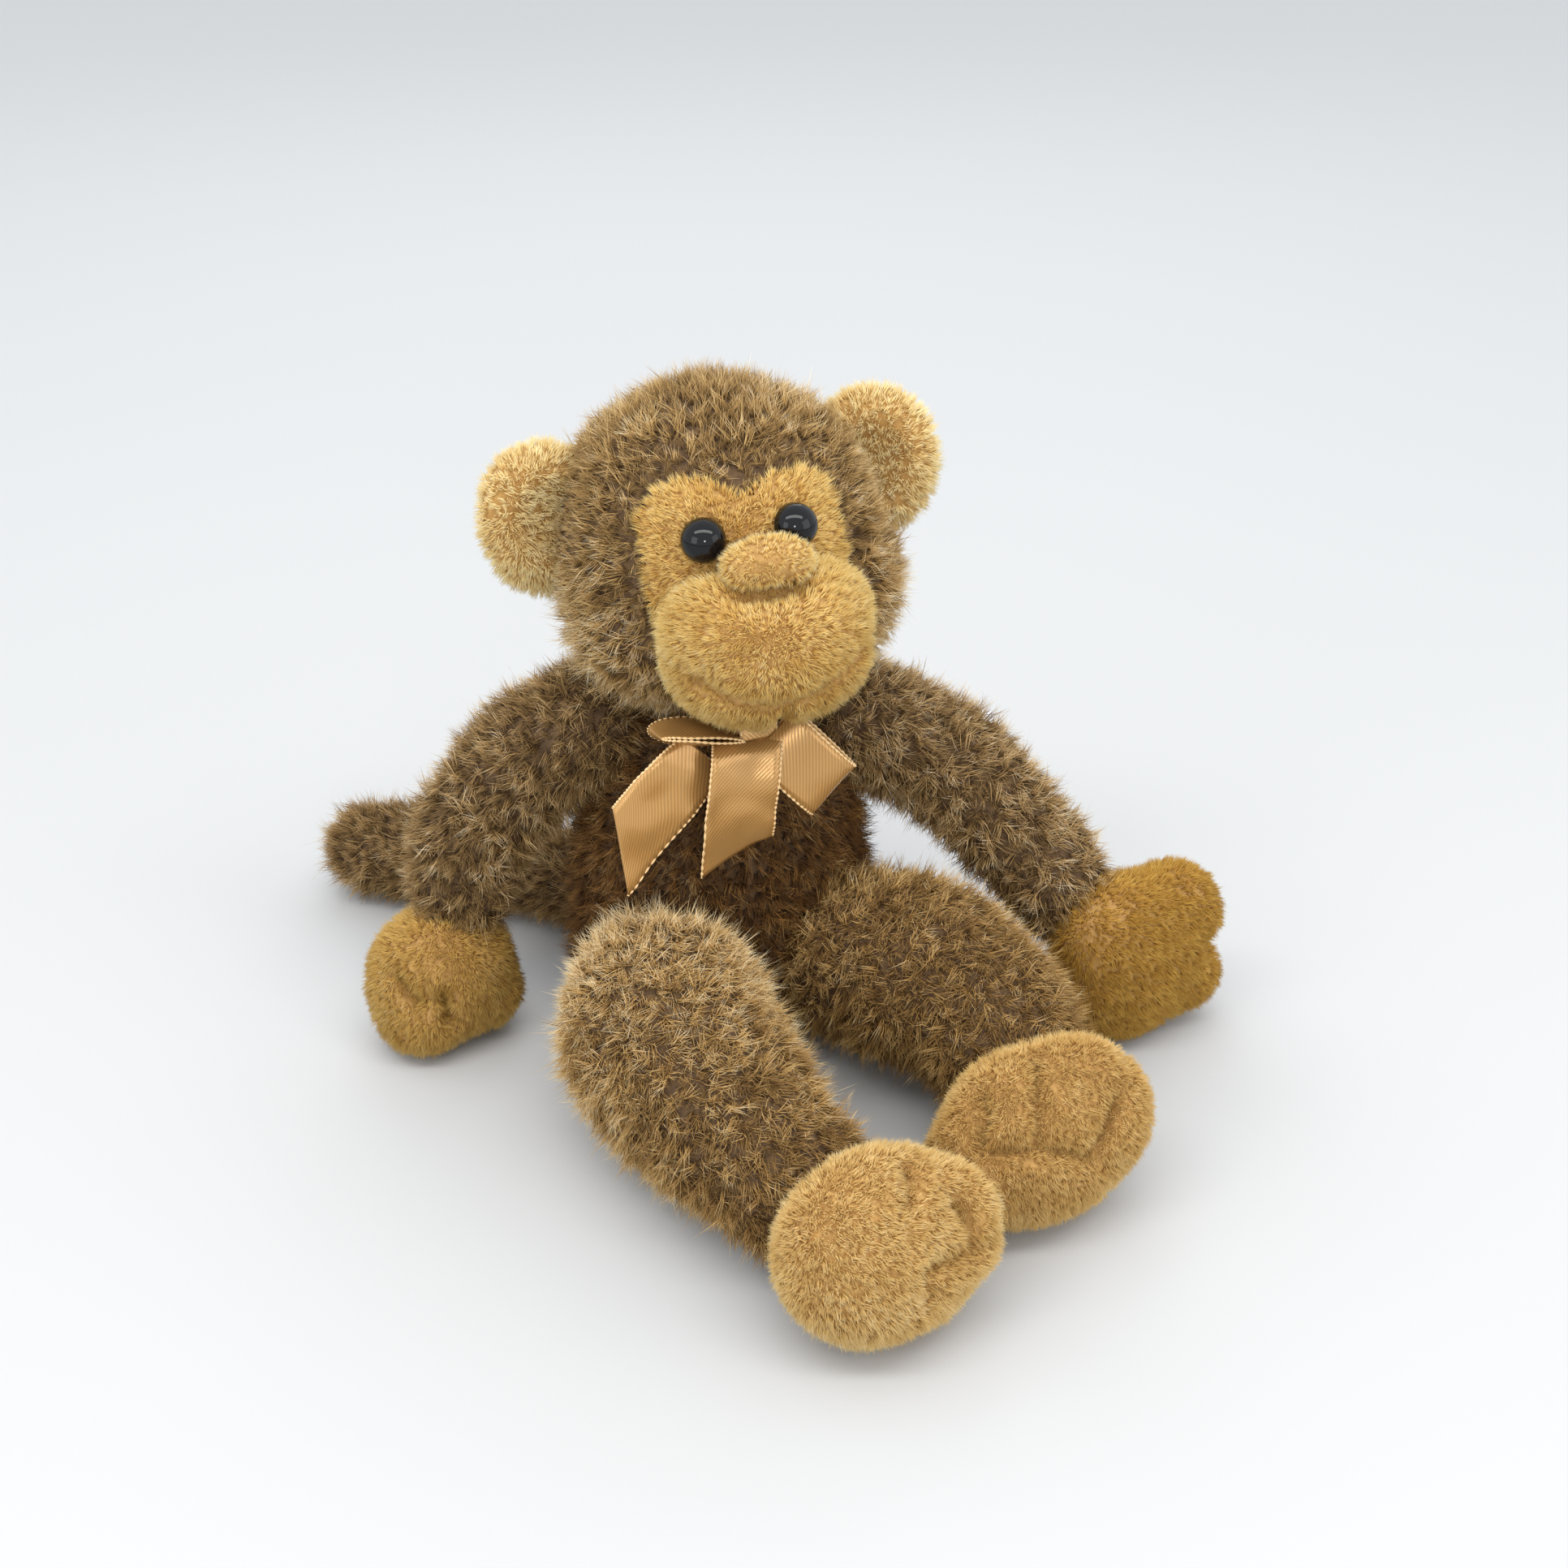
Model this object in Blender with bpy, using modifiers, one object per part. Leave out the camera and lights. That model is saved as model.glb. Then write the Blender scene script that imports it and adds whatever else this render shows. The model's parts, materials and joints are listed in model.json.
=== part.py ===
"""A floppy plush monkey that sits on its seat with its legs out in front.

Units are metres and +Z is up. The monkey faces -Y, so its own right side is at -X. The origin is on
the flat of the seat, under the neck. Each fabric skin is a shell with an opening where it is sewn to
its neighbour, and holds its own filling. A limb ends in a ball about its joint, which nests in a round
seat in the body beside it, so that it turns there with nothing in its way.
"""

from math import cos, pi, radians, sin, sqrt

import bmesh
import bpy
from mathutils import Euler, Matrix, Vector

MM = 0.001
WALL = 2.0  # thickness of the plush cloth and its backing
GAP = 0.35  # left free between two pieces that touch
SEAM_HOLE = 5.0  # radius of the opening that a limb is sewn on round
THREAD = 0.55  # radius of a doubled sewing thread
THREAD_LIFT = THREAD + 0.3  # how far the middle of a stitched line stands off the cloth
RIBBON_WIDTH = 19.0
RIBBON_THICK = 0.8
AROUND = 12  # sides of a round limb
SEAT_CLEAR = 0.15  # clearance of a ball in its seat, besides what the facets take
PAST = 60.0  # how far a cutter runs on past what it cuts

# Torso: (height, half width) up its side, and how deep it is for its width.
TORSO_X = 2.0
TORSO_DEPTH = 0.85
TORSO_SIDE = (
    (0.0, 29.0), (2.5, 34.0), (9.0, 38.5), (22.0, 40.5), (40.0, 40.0), (56.0, 38.5), (70.0, 35.5),
    (82.0, 31.0), (92.0, 25.0), (100.0, 18.5), (106.0, 11.0), (109.0, 4.5),
)
SEAT_BAG = ((2.0, 2.0, 13.0), (29.0, 24.0, 10.0))
BACK_SEAM = ((35.6, 30.0), (36.0, 42.0), (35.0, 56.0), (32.3, 69.0))  # (y, z) up the middle of the back

# Head: it turns and nods about NECK, in a socket of SOCKET about it.
NECK = Vector((2.0, 0.0, 84.0))
SOCKET = 27.6
NECK_HOLE = 8.5  # radius of the opening at the top of the torso
NECK_GATHER = (6.2, 1.0)  # radius of the gathering thread's ring, and of the thread
HEAD = Vector((4.0, -1.0, 143.5))
HEAD_SIZE = Vector((43.5, 41.0, 41.5))
HEAD_POSE = Euler((radians(-1.0), radians(-5.0), radians(-6.0)))
CHEEKS = 0.07  # how much wider the head gets towards its cheeks
MASK_THICK = 1.2
MASK_OUTLINE = (
    (0, 23), (10, 28), (20, 27), (26, 19), (26, 6), (25, -8), (20, -22), (10, -29),
    (0, -31), (-10, -29), (-20, -22), (-25, -8), (-26, 6), (-26, 19), (-20, 26), (-10, 27),
)
MUZZLE = Vector((0.0, -44.0, -13.0))
MUZZLE_SIZE = Vector((26.0, 19.0, 20.0))
NOSE = Vector((0.0, -51.5, 12.0))
NOSE_SIZE = Vector((11.5, 8.0, 6.5))
EARS = {"right": (-46.5, 7.0, 12.0), "left": (43.5, 7.0, 12.5)}
EAR_SIZE = Vector((17.0, 6.0, 20.0))
EAR_LEAN, EAR_TOE_IN = 12.0, -18.0  # degrees about the head's Y and Z
EAR_DISH = (Vector((0.0, -17.5, 0.0)), Vector((19.0, 14.5, 21.0)))  # the ball that hollows its front

# Stitched lines on the muzzle: how far they reach to each side, their height, and the rise at their ends.
MOUTH_LINE = (20.0, -9.5, 7.0)
NOSE_LINE = (8.0, 14.4, 1.0)

# Eyes: a domed head on a shank that a washer locks, heights being measured out from the head.
EYE_SIDE, EYE_UP, EYE_RADIUS = 11.5, 13.5, 4.9
EYE_FLANGE = (2.0, 2.9)
EYE_DOME = 0.86  # height of the dome for its radius
SHANK_RADIUS, SHANK_END = 1.6, -10.5
WASHER_RADIUS, WASHER = 6.0, (-6.4, -4.8)
WASHER_ROOM = 1.0  # the room in the filling for a washer ends at this height

# Bow: its knot, its tails from start to end, and its loops, each with the way it runs, the way its two
# layers lie apart, and half its length. The ribbon goes round the neck inside the head's socket.
KNOT = Vector((-1.0, -37.5, 103.0))
KNOT_SIZE = (5.5, 4.6, 5.4)
BOW_TAILS = {
    "right": ((-16, -41, 92.5), (-38, -43, 77), 7.0),
    "left": ((-6.5, -44, 100), (-8.3, -44, 70), -4.5),
}
TAIL_SAG = 1.5
BOW_LOOPS = {
    "right": ((-0.99, -0.08, 0.12), (0.0, 0.3, 0.95), 10.5),
    "left": ((0.72, -0.08, -0.69), (-0.3, -0.84, 0.45), 10.0),
}
LOOP_START, LOOP_HALF_DEPTH, LOOP_WIDTH = 6.5, 3.4, 15.0
NECK_BAND = Vector((TORSO_X, 0.0, 102.6))
NECK_BAND_SIZE = (16.5, 14.3)
NECK_BAND_WIDTH = 3.6
NECK_SLOPE = (-0.78, 0.62)  # inward and up: the way the torso's top slopes
NECK_BAND_FROM, NECK_BAND_TO = -26.0, 206.0  # degrees, past its back, where the band leaves the neck

# Limbs: a spine of points from the joint at the body to the joint at the end, and a radius at each.
ARMS = {
    "right": (((-35, 6, 91), (-55, 10, 80), (-68, 12, 63), (-70, 13, 44)), (17, 16, 15, 13)),
    "left": (((39, -4, 87), (62, -15, 79), (77, -30, 63), (86, -45, 45)), (17, 16.5, 15, 13)),
}
HANDS = {
    "right": ((-79, 8, 19.4), (21.5, 19.5, 19.0), (0, 0, 20)),
    "left": ((106.5, -56, 24.5), (27.5, 16, 24.2), (0, 0, 20)),
}
LEGS = {
    "right": (((-27, -34, 26), (-34, -61, 28.5), (-31, -94, 26.5), (-22, -123, 25)), (22, 27.5, 23, 18)),
    "left": (((31, -30, 26), (41, -52, 30), (49, -76, 30), (50, -97, 26)), (21.5, 24, 21, 18)),
}
FEET = {
    "right": ((-9, -151.5, 22.6), (27, 21, 22.2), (0, 0, 10)),
    "left": ((45, -123, 22.6), (31, 21, 22.2), (0, 0, 20)),
}
DIGITS = {  # the stitched lines' places across, and the heights between which they run
    "finger": ((-7.0, 7.0), -10.0, 3.0),
    "toe": ((-8.0, 8.0), 2.0, 16.0),
}
LIMB_GATHER = (3.0, 0.8)
TAIL = (((-12, 40, 15), (-32, 61, 16), (-56, 81, 16), (-80, 97, 15)), (12, 12.5, 13, 12.5))

COLOURS = {
    "brown_plush": ((0.23, 0.14, 0.08), 0.95),
    "tan_plush": ((0.55, 0.33, 0.13), 0.95),
    "filling": ((0.85, 0.83, 0.80), 1.0),
    "beans": ((0.75, 0.74, 0.70), 0.6),
    "thread": ((0.30, 0.19, 0.10), 0.8),
    "ribbon": ((0.62, 0.33, 0.15), 0.35),
    "black_plastic": ((0.01, 0.01, 0.012), 0.08),
    "washer_plastic": ((0.80, 0.80, 0.78), 0.5),
}


def clear_scene():
    for thing in list(bpy.data.objects):
        bpy.data.objects.remove(thing)


def add_collection(name):
    made = bpy.data.collections.new(name)
    bpy.context.scene.collection.children.link(made)
    return made


def material_for(kind, name):
    colour, roughness = COLOURS[kind]
    made = bpy.data.materials.new(name)
    made.use_nodes = True
    shader = made.node_tree.nodes["Principled BSDF"]
    shader.inputs["Base Color"].default_value = (*colour, 1.0)
    shader.inputs["Roughness"].default_value = roughness
    shader.inputs["Metallic"].default_value = 0.0
    return made


def add_object(name, bm, collection):
    """Closes a bmesh drawn in millimetres into an object of that name."""
    bmesh.ops.remove_doubles(bm, verts=bm.verts, dist=0.001)
    bmesh.ops.recalc_face_normals(bm, faces=bm.faces)
    bmesh.ops.scale(bm, vec=(MM, MM, MM), verts=bm.verts)
    mesh = bpy.data.meshes.new(name)
    bm.to_mesh(mesh)
    bm.free()
    mesh.shade_smooth()
    made = bpy.data.objects.new(name, mesh)
    collection.objects.link(made)
    return made


def piece(name, bm, kind):
    made = add_object(name, bm, parts)
    made.data.materials.append(material_for(kind, name))
    return made


def cutter(name, bm):
    made = add_object("cut_" + name, bm, cutters)
    made.hide_render = True
    made.display_type = "WIRE"
    return made


def cut(target, *tools):
    """Takes the tools' shapes out of the target."""
    for tool in tools:
        boolean = target.modifiers.new(tool.name, "BOOLEAN")
        boolean.operation = "DIFFERENCE"
        boolean.object = tool


def set_origin(thing, place):
    """Puts an object's origin at a place in millimetres and leaves its shape where it is."""
    thing.data.transform(Matrix.Translation(-Vector(place) * MM))
    thing.location = Vector(place) * MM


def keep_inside(target, tool):
    boolean = target.modifiers.new(tool.name, "BOOLEAN")
    boolean.operation = "INTERSECT"
    boolean.object = tool


# ---- shapes, drawn in millimetres ----


def ball(centre, size, turn=None, segments=16, rings=10):
    bm = bmesh.new()
    bmesh.ops.create_uvsphere(bm, u_segments=segments, v_segments=rings, radius=1.0)
    size = Vector((size,) * 3) if isinstance(size, (int, float)) else Vector(size)
    place = Matrix.Translation(centre) @ (turn or Matrix()).to_4x4() @ Matrix.Diagonal((*size, 1.0))
    bmesh.ops.transform(bm, matrix=place, verts=bm.verts)
    return bm


def seat_ball(joint, radius):
    """A cutter for a round seat whose flattest facet still clears a ball of that radius."""
    segments, rings = 16, 10
    size = (radius + SEAT_CLEAR) / (cos(pi / segments) * cos(pi / 2 / rings))
    return ball(joint, size, segments=segments, rings=rings)


def rod(start, end, radius, segments=12):
    """A plain cylinder between two points."""
    start, end = Vector(start), Vector(end)
    along = end - start
    bm = bmesh.new()
    bmesh.ops.create_cone(
        bm, cap_ends=True, segments=segments, radius1=radius, radius2=radius, depth=along.length
    )
    turn = Vector((0, 0, 1)).rotation_difference(along).to_matrix().to_4x4()
    place = Matrix.Translation((start + end) / 2) @ turn
    bmesh.ops.transform(bm, matrix=place, verts=bm.verts)
    return bm


def curve_mesh(points, sizes, sides, closed=False):
    """A round tube through the points, made by a bevelled curve, with filled caps."""
    curve = bpy.data.curves.new("spine", "CURVE")
    curve.dimensions = "3D"
    curve.bevel_depth = 1.0
    curve.bevel_resolution = sides // 4 - 1
    curve.use_fill_caps = not closed
    spline = curve.splines.new("POLY")
    spline.points.add(len(points) - 1)
    for point, place, size in zip(spline.points, points, sizes):
        point.co = (*place, 1.0)
        point.radius = size
    spline.use_cyclic_u = closed
    holder = bpy.data.objects.new("spine", curve)
    bm = bmesh.new()
    bm.from_mesh(holder.to_mesh())
    bpy.data.objects.remove(holder)
    bmesh.ops.remove_doubles(bm, verts=bm.verts, dist=0.001)
    return bm


def through(knots, steps):
    """Points on a smooth curve through the knots, which may be places or plain numbers."""
    found = []
    last = len(knots) - 1
    for i in range(last):
        a, b, c, d = (knots[max(i - 1, 0)], knots[i], knots[i + 1], knots[min(i + 2, last)])
        for step in range(steps):
            t = step / steps
            found.append(
                (b * 2 + (c - a) * t + (a * 2 - b * 5 + c * 4 - d) * t**2
                 + (b * 3 - a - c * 3 + d) * t**3) * 0.5
            )
    return found + [knots[-1]]


def limb(spine, radii, inset=0.0, sides=AROUND):
    """A soft tube along the spine that ends in half balls, made smaller all over by the inset."""
    places = through([Vector(p) for p in spine], 2)
    sizes = [r - inset for r in through([float(r) for r in radii], 2)]
    out_first = (places[0] - places[1]).normalized()
    out_last = (places[-1] - places[-2]).normalized()
    turns = [radians(a) for a in (78, 54, 28)]
    head = [(places[0] + out_first * sizes[0] * sin(a), sizes[0] * cos(a)) for a in turns]
    tail = [(places[-1] + out_last * sizes[-1] * sin(a), sizes[-1] * cos(a)) for a in turns[::-1]]
    rows = head + list(zip(places, sizes)) + tail
    return curve_mesh([p for p, _ in rows], [r for _, r in rows], sides)


def ring(centre, normal, radius, thick, count=10, sides=8):
    """A ring of thread."""
    turn = Vector((0, 0, 1)).rotation_difference(Vector(normal))
    angles = [2 * pi * i / count for i in range(count)]
    points = [Vector(centre) + turn @ Vector((radius * cos(a), radius * sin(a), 0)) for a in angles]
    return curve_mesh(points, [thick] * count, sides, closed=True)


def turned(profile, place, segments=12):
    """A round piece from (radius, height) pairs, top to bottom, both ends on its axis."""
    bm = bmesh.new()
    rim = [bm.verts.new((r, 0, h)) for r, h in profile]
    edges = [bm.edges.new(pair) for pair in zip(rim, rim[1:])]
    bmesh.ops.spin(
        bm, geom=rim + edges, cent=(0, 0, 0), axis=(0, 0, 1), angle=2 * pi, steps=segments, use_merge=True
    )
    bmesh.ops.remove_doubles(bm, verts=bm.verts, dist=0.001)
    bmesh.ops.transform(bm, matrix=place, verts=bm.verts)
    return bm


def strip(path, across, width, slant):
    """A flat band along the path, its width along `across` at each step; `slant` cuts its end askew."""
    bm = bmesh.new()
    last = len(path) - 1
    bmesh.ops.create_grid(bm, x_segments=1, y_segments=last, size=1.0)
    for vert in bm.verts:
        step = round((vert.co.y + 1) / 2 * last)
        place = Vector(path[step]) + Vector(across[step]).normalized() * vert.co.x * width / 2
        if step == last:
            place += (Vector(path[last]) - Vector(path[last - 1])).normalized() * vert.co.x * slant
        vert.co = place
    return bm


def ribbon(name, path, across, width=RIBBON_WIDTH, slant=0.0):
    made = piece(name, strip(path, across, width, slant), "ribbon")
    solid = made.modifiers.new("Solidify", "SOLIDIFY")
    solid.thickness = RIBBON_THICK * MM
    solid.offset = 0.0
    return made


# ---- torso ----


def torso_shape(inset=0.0):
    """The body bag: a stack of ovals, flat where it sits."""
    shrink = 1 - 2 * inset / TORSO_SIDE[-1][0]
    heights = [(0, 0, inset + z * shrink) for z, _ in TORSO_SIDE]
    bm = curve_mesh(heights, [r - inset for _, r in TORSO_SIDE], 20)
    bmesh.ops.scale(bm, vec=(1.0, TORSO_DEPTH, 1.0), verts=bm.verts)
    bmesh.ops.translate(bm, vec=(TORSO_X, 0, 0), verts=bm.verts)
    return bm


def roots():
    """(name, joint, radius) of each limb that nests in the torso."""
    for side in ("right", "left"):
        yield side + "_shoulder", Vector(ARMS[side][0][0]), ARMS[side][1][0]
        yield side + "_hip", Vector(LEGS[side][0][0]), LEGS[side][1][0]
    yield "tail", Vector(TAIL[0][0]), TAIL[1][0]


def make_torso():
    skin = piece("torso_skin", torso_shape(), "brown_plush")
    filling = piece("torso_stuffing", torso_shape(WALL + GAP), "filling")
    bag = piece("seat_bean_bag", ball(*SEAT_BAG), "beans")
    under_bag = cutter("under_seat_bag", rod((0, 0, -PAST), (0, 0, WALL + GAP), PAST))
    around_bag = cutter("around_seat_bag", ball(SEAT_BAG[0], Vector(SEAT_BAG[1]) + Vector((GAP,) * 3)))
    seats = [cutter(name + "_seat", seat_ball(at, size)) for name, at, size in roots()]
    neck = cutter("neck_opening", rod(NECK - Vector((0, 0, 5)), NECK + Vector((0, 0, PAST)), NECK_HOLE))
    cut(skin, cutter("torso_hollow", torso_shape(WALL)), *seats, neck)
    cut(filling, around_bag, *seats, neck)
    cut(bag, under_bag, *seats)
    places = through([Vector((TORSO_X, y, z)) for y, z in BACK_SEAM], 3)
    piece("back_seam_thread", curve_mesh(places, [THREAD] * len(places), 8), "thread")


def bow_loop(name, run, face, half):
    """One flattened loop that leaves the knot along `run`, its two layers apart along `face`."""
    run = Vector(run).normalized()
    across = run.cross(Vector(face)).normalized()
    face = across.cross(run)
    path = []
    for i in range(17):
        angle = radians(18 + 324 * i / 16)
        out, up = LOOP_START + half * (1 - cos(angle)), LOOP_HALF_DEPTH * sin(angle)
        path.append(KNOT + run * out + face * up)
    ribbon(name, path, [across] * len(path), LOOP_WIDTH)


def make_neck_ribbon():
    """The band that leaves the knot, goes round the neck and comes back to the knot."""
    upright = Vector((0, 0, 1))
    inward, rise = NECK_SLOPE
    wide, deep = NECK_BAND_SIZE
    path, across = [], []
    for i in range(19):
        angle = radians(NECK_BAND_FROM + (NECK_BAND_TO - NECK_BAND_FROM) * i / 18)
        path.append(NECK_BAND + Vector((wide * cos(angle), deep * sin(angle), 0)))
        across.append(Vector((cos(angle), sin(angle), 0)) * inward + upright * rise)
    for where, side in ((0, 1), (-1, -1)):
        at_knot = KNOT + Vector((side * 2.6, KNOT_SIZE[1] + 0.6, 0))
        leaving, tilt = path[where], across[where]
        extra = [(leaving.lerp(at_knot, t), tilt.lerp(upright, t)) for t in (0.25, 0.5, 0.75, 1.0)]
        if where == 0:
            path, across = [p for p, _ in extra[::-1]] + path, [a for _, a in extra[::-1]] + across
        else:
            path, across = path + [p for p, _ in extra], across + [a for _, a in extra]
    ribbon("neck_ribbon", path, across, NECK_BAND_WIDTH)


def make_bow():
    """The satin ribbon round the neck, its knot under the chin, two loops and two tails."""
    make_neck_ribbon()
    piece("bow_knot", ball(KNOT, KNOT_SIZE, segments=12, rings=8), "ribbon")
    for side, loop in BOW_LOOPS.items():
        bow_loop("bow_loop_" + side, *loop)
    for side, (start, end, slant) in BOW_TAILS.items():
        start, end = Vector(start), Vector(end)
        path = [start.lerp(end, i / 6) - Vector((0, TAIL_SAG * sin(pi * i / 6), 0)) for i in range(7)]
        across = (end - start).cross(Vector((0, 1, 0)))
        ribbon("bow_tail_" + side, path, [across] * len(path), slant=slant)


# ---- head ----


def on_head(local):
    """A place given from the middle of the head, with the face towards -Y."""
    return HEAD + HEAD_POSE.to_matrix() @ Vector(local)


def head_ball(grow=0.0, segments=20, rings=12):
    """The head's round, a little wider towards the cheeks, made larger all over by `grow`."""
    bm = ball((0, 0, 0), 1.0, segments=segments, rings=rings)
    for vert in bm.verts:
        vert.co.x *= 1 - CHEEKS * vert.co.z
    size = HEAD_SIZE + Vector((grow,) * 3)
    pose = Matrix.Translation(HEAD) @ HEAD_POSE.to_matrix().to_4x4() @ Matrix.Diagonal((*size, 1.0))
    bmesh.ops.transform(bm, matrix=pose, verts=bm.verts)
    return bm


def face_ball(place, size, grow=0.0, segments=16, rings=10):
    return ball(on_head(place), size + Vector((grow,) * 3), HEAD_POSE.to_matrix(), segments, rings)


def surface_point(side, up, centre, size, out=0.0):
    """The place on the front of an oval, at this much to the side and up from its middle."""
    share = 1 - (side / (size.x + out)) ** 2 - (up / (size.z + out)) ** 2
    depth = (size.y + out) * sqrt(max(share, 0.0))
    return centre + Vector((side, -depth, up))


def eye_frame(side):
    """The place of an eye on the face, with its own +Z straight out of the head."""
    local = surface_point(side * EYE_SIDE, EYE_UP, Vector((0, 0, 0)), HEAD_SIZE)
    out = Vector((local.x / HEAD_SIZE.x**2, local.y / HEAD_SIZE.y**2, local.z / HEAD_SIZE.z**2))
    turn = Vector((0, 0, 1)).rotation_difference(HEAD_POSE.to_matrix() @ out.normalized())
    return Matrix.Translation(on_head(local)) @ turn.to_matrix().to_4x4()


def mask_outline():
    """The heart-topped patch that frames the eyes and the muzzle, as a deep block to cut with."""
    bm = bmesh.new()
    rim = [bm.verts.new((x, -8.0, z)) for x, z in MASK_OUTLINE]
    face = bm.faces.new(rim)
    pushed = bmesh.ops.extrude_face_region(bm, geom=[face])["geom"]
    moved = [v for v in pushed if isinstance(v, bmesh.types.BMVert)]
    bmesh.ops.translate(bm, vec=(0, -PAST, 0), verts=moved)
    place = Matrix.Translation(HEAD) @ HEAD_POSE.to_matrix().to_4x4()
    bmesh.ops.transform(bm, matrix=place, verts=bm.verts)
    return bm


def make_eyes():
    """Domed safety eyes: each has a shank through the cloth and a washer that locks it inside."""
    holes, rooms = [], []
    for name, side in (("right", -1), ("left", 1)):
        frame = eye_frame(side)
        low, seat = EYE_FLANGE
        turns = [radians(a) for a in range(72, -1, -18)]
        dome = [(EYE_RADIUS * cos(a), seat + EYE_RADIUS * EYE_DOME * sin(a)) for a in turns]
        top = [(0.0, seat + EYE_RADIUS * EYE_DOME)]
        shank = [(EYE_RADIUS, low), (SHANK_RADIUS, low), (SHANK_RADIUS, SHANK_END), (0.0, SHANK_END)]
        piece("eye_" + name, turned(top + dome + shank, frame), "black_plastic")
        hole = cutter("eye_hole_" + name, turned_block(frame, SHANK_RADIUS + GAP, SHANK_END - 1, PAST))
        washer = piece("eye_washer_" + name, turned_block(frame, WASHER_RADIUS, *WASHER), "washer_plastic")
        cut(washer, hole)
        holes.append(hole)
        room = turned_block(frame, WASHER_RADIUS + GAP, WASHER[0] - GAP, WASHER_ROOM)
        rooms.append(cutter("washer_room_" + name, room))
    return holes, rooms


def turned_block(frame, radius, low, high):
    return rod(frame @ Vector((0, 0, low)), frame @ Vector((0, 0, high)), radius)


def make_ears(head_room):
    """Each ear is a dished front and a rounded back, sewn together round their rim."""
    for name, side in (("right", -1), ("left", 1)):
        lean = Euler((0, radians(side * EAR_LEAN), 0)).to_matrix()
        lean = lean @ Euler((0, 0, radians(side * EAR_TOE_IN))).to_matrix()
        turn = HEAD_POSE.to_matrix() @ lean
        split = on_head(EARS[name])
        offset, size = EAR_DISH
        dish = cutter("ear_dish_" + name, ball(split + turn @ offset, size, turn))
        for layer, facing in (("front", -1), ("back", 1)):
            made = piece(f"ear_{name}_{layer}", ball(split, EAR_SIZE, turn, 16, 10), "tan_plush")
            start = split + turn @ Vector((0, -facing * PAST, 0))
            end = split + turn @ Vector((0, facing * GAP / 2, 0))
            cut(made, cutter(f"ear_half_{name}_{layer}", rod(start, end, PAST)), head_room)
            if layer == "front":
                cut(made, dish)


def face_stitch(name, reach, middle, rise):
    """A stitched line across the muzzle that curves up by `rise` at both ends."""
    places = []
    for step in range(-5, 6):
        side = reach * step / 5
        up = middle + rise * (step / 5) ** 2
        places.append(on_head(surface_point(side, up, MUZZLE, MUZZLE_SIZE, THREAD_LIFT)))
    piece(name, curve_mesh(places, [THREAD] * len(places), 8), "thread")


def make_head():
    socket = cutter("neck_socket", ball(NECK, SOCKET, segments=20, rings=12))
    holes, washer_rooms = make_eyes()
    skin = piece("head_skin", head_ball(), "brown_plush")
    cut(skin, cutter("head_hollow", head_ball(-WALL, 16, 10)), socket, *holes)
    filling = piece("head_stuffing", head_ball(-WALL - 2 * GAP, 16, 10), "filling")
    cut(filling, socket, *holes, *washer_rooms)

    head_room = cutter("head_room", head_ball(GAP))
    mask_room = cutter("mask_room", head_ball(GAP + MASK_THICK + GAP))
    muzzle_room = cutter("muzzle_room", face_ball(MUZZLE, MUZZLE_SIZE, GAP))
    nose_room = cutter("nose_room", face_ball(NOSE, NOSE_SIZE, GAP))
    mask = piece("face_mask", head_ball(GAP + MASK_THICK), "tan_plush")
    keep_inside(mask, cutter("mask_outline", mask_outline()))
    cut(mask, head_room, muzzle_room, nose_room, *holes)
    muzzle = piece("muzzle_skin", face_ball(MUZZLE, MUZZLE_SIZE), "tan_plush")
    cut(muzzle, cutter("muzzle_hollow", face_ball(MUZZLE, MUZZLE_SIZE, -WALL)), mask_room)
    plug = piece("muzzle_stuffing", face_ball(MUZZLE, MUZZLE_SIZE, -WALL - GAP), "filling")
    cut(plug, mask_room)
    nose = piece("nose_pad", face_ball(NOSE, NOSE_SIZE, segments=16, rings=10), "tan_plush")
    cut(nose, mask_room, muzzle_room)
    make_ears(head_room)

    face_stitch("mouth_thread", *MOUTH_LINE)
    face_stitch("nose_thread", *NOSE_LINE)
    piece("neck_gather_thread", ring(NECK, (0, 0, 1), *NECK_GATHER), "thread")


# ---- limbs ----


def root_hole(name, spine, radius):
    """The opening at a limb's root: it runs from past the gathering thread out through the end."""
    joint, following = Vector(spine[0]), Vector(spine[1])
    inward = (following - joint).normalized()
    return cutter(name + "_opening", rod(joint + inward * SEAM_HOLE, joint - inward * (radius + 6), SEAM_HOLE))


def make_limb(name, spine, radii, kind):
    skin = piece(name + "_skin", limb(spine, radii), kind)
    filling = piece(name + "_stuffing", limb(spine, radii, WALL + GAP), "filling")
    hole = root_hole(name, spine, radii[0])
    cut(skin, cutter(name + "_hollow", limb(spine, radii, WALL)), hole)
    cut(filling, hole)


def make_end(name, centre, size, angles, joint, joint_radius, filling_name):
    """A hand or a foot: a stuffed oval that takes the end of its limb in a round seat."""
    turn = Euler([radians(a) for a in angles]).to_matrix()
    size = Vector(size)
    seat = cutter(name + "_seat", seat_ball(joint, joint_radius))
    skin = piece(name + "_skin", ball(centre, size, turn, 16, 10), "tan_plush")
    cut(skin, cutter(name + "_hollow", ball(centre, size - Vector((WALL,) * 3), turn, 12, 8)), seat)
    inner = size - Vector((WALL + 2 * GAP,) * 3)
    cut(piece(filling_name, ball(centre, inner, turn, 12, 8), "beans"), seat)


def digit_thread(name, centre, size, angles, side, low, high):
    """A stitched line that divides two fingers or toes, over the front of the oval."""
    turn = Euler([radians(a) for a in angles]).to_matrix()
    middle = Vector((0, 0, 0))
    places = []
    for i in range(7):
        up = low + (high - low) * i / 6
        places.append(Vector(centre) + turn @ surface_point(side, up, middle, Vector(size), THREAD_LIFT))
    piece(name, curve_mesh(places, [THREAD] * len(places), 4), "thread")


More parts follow.
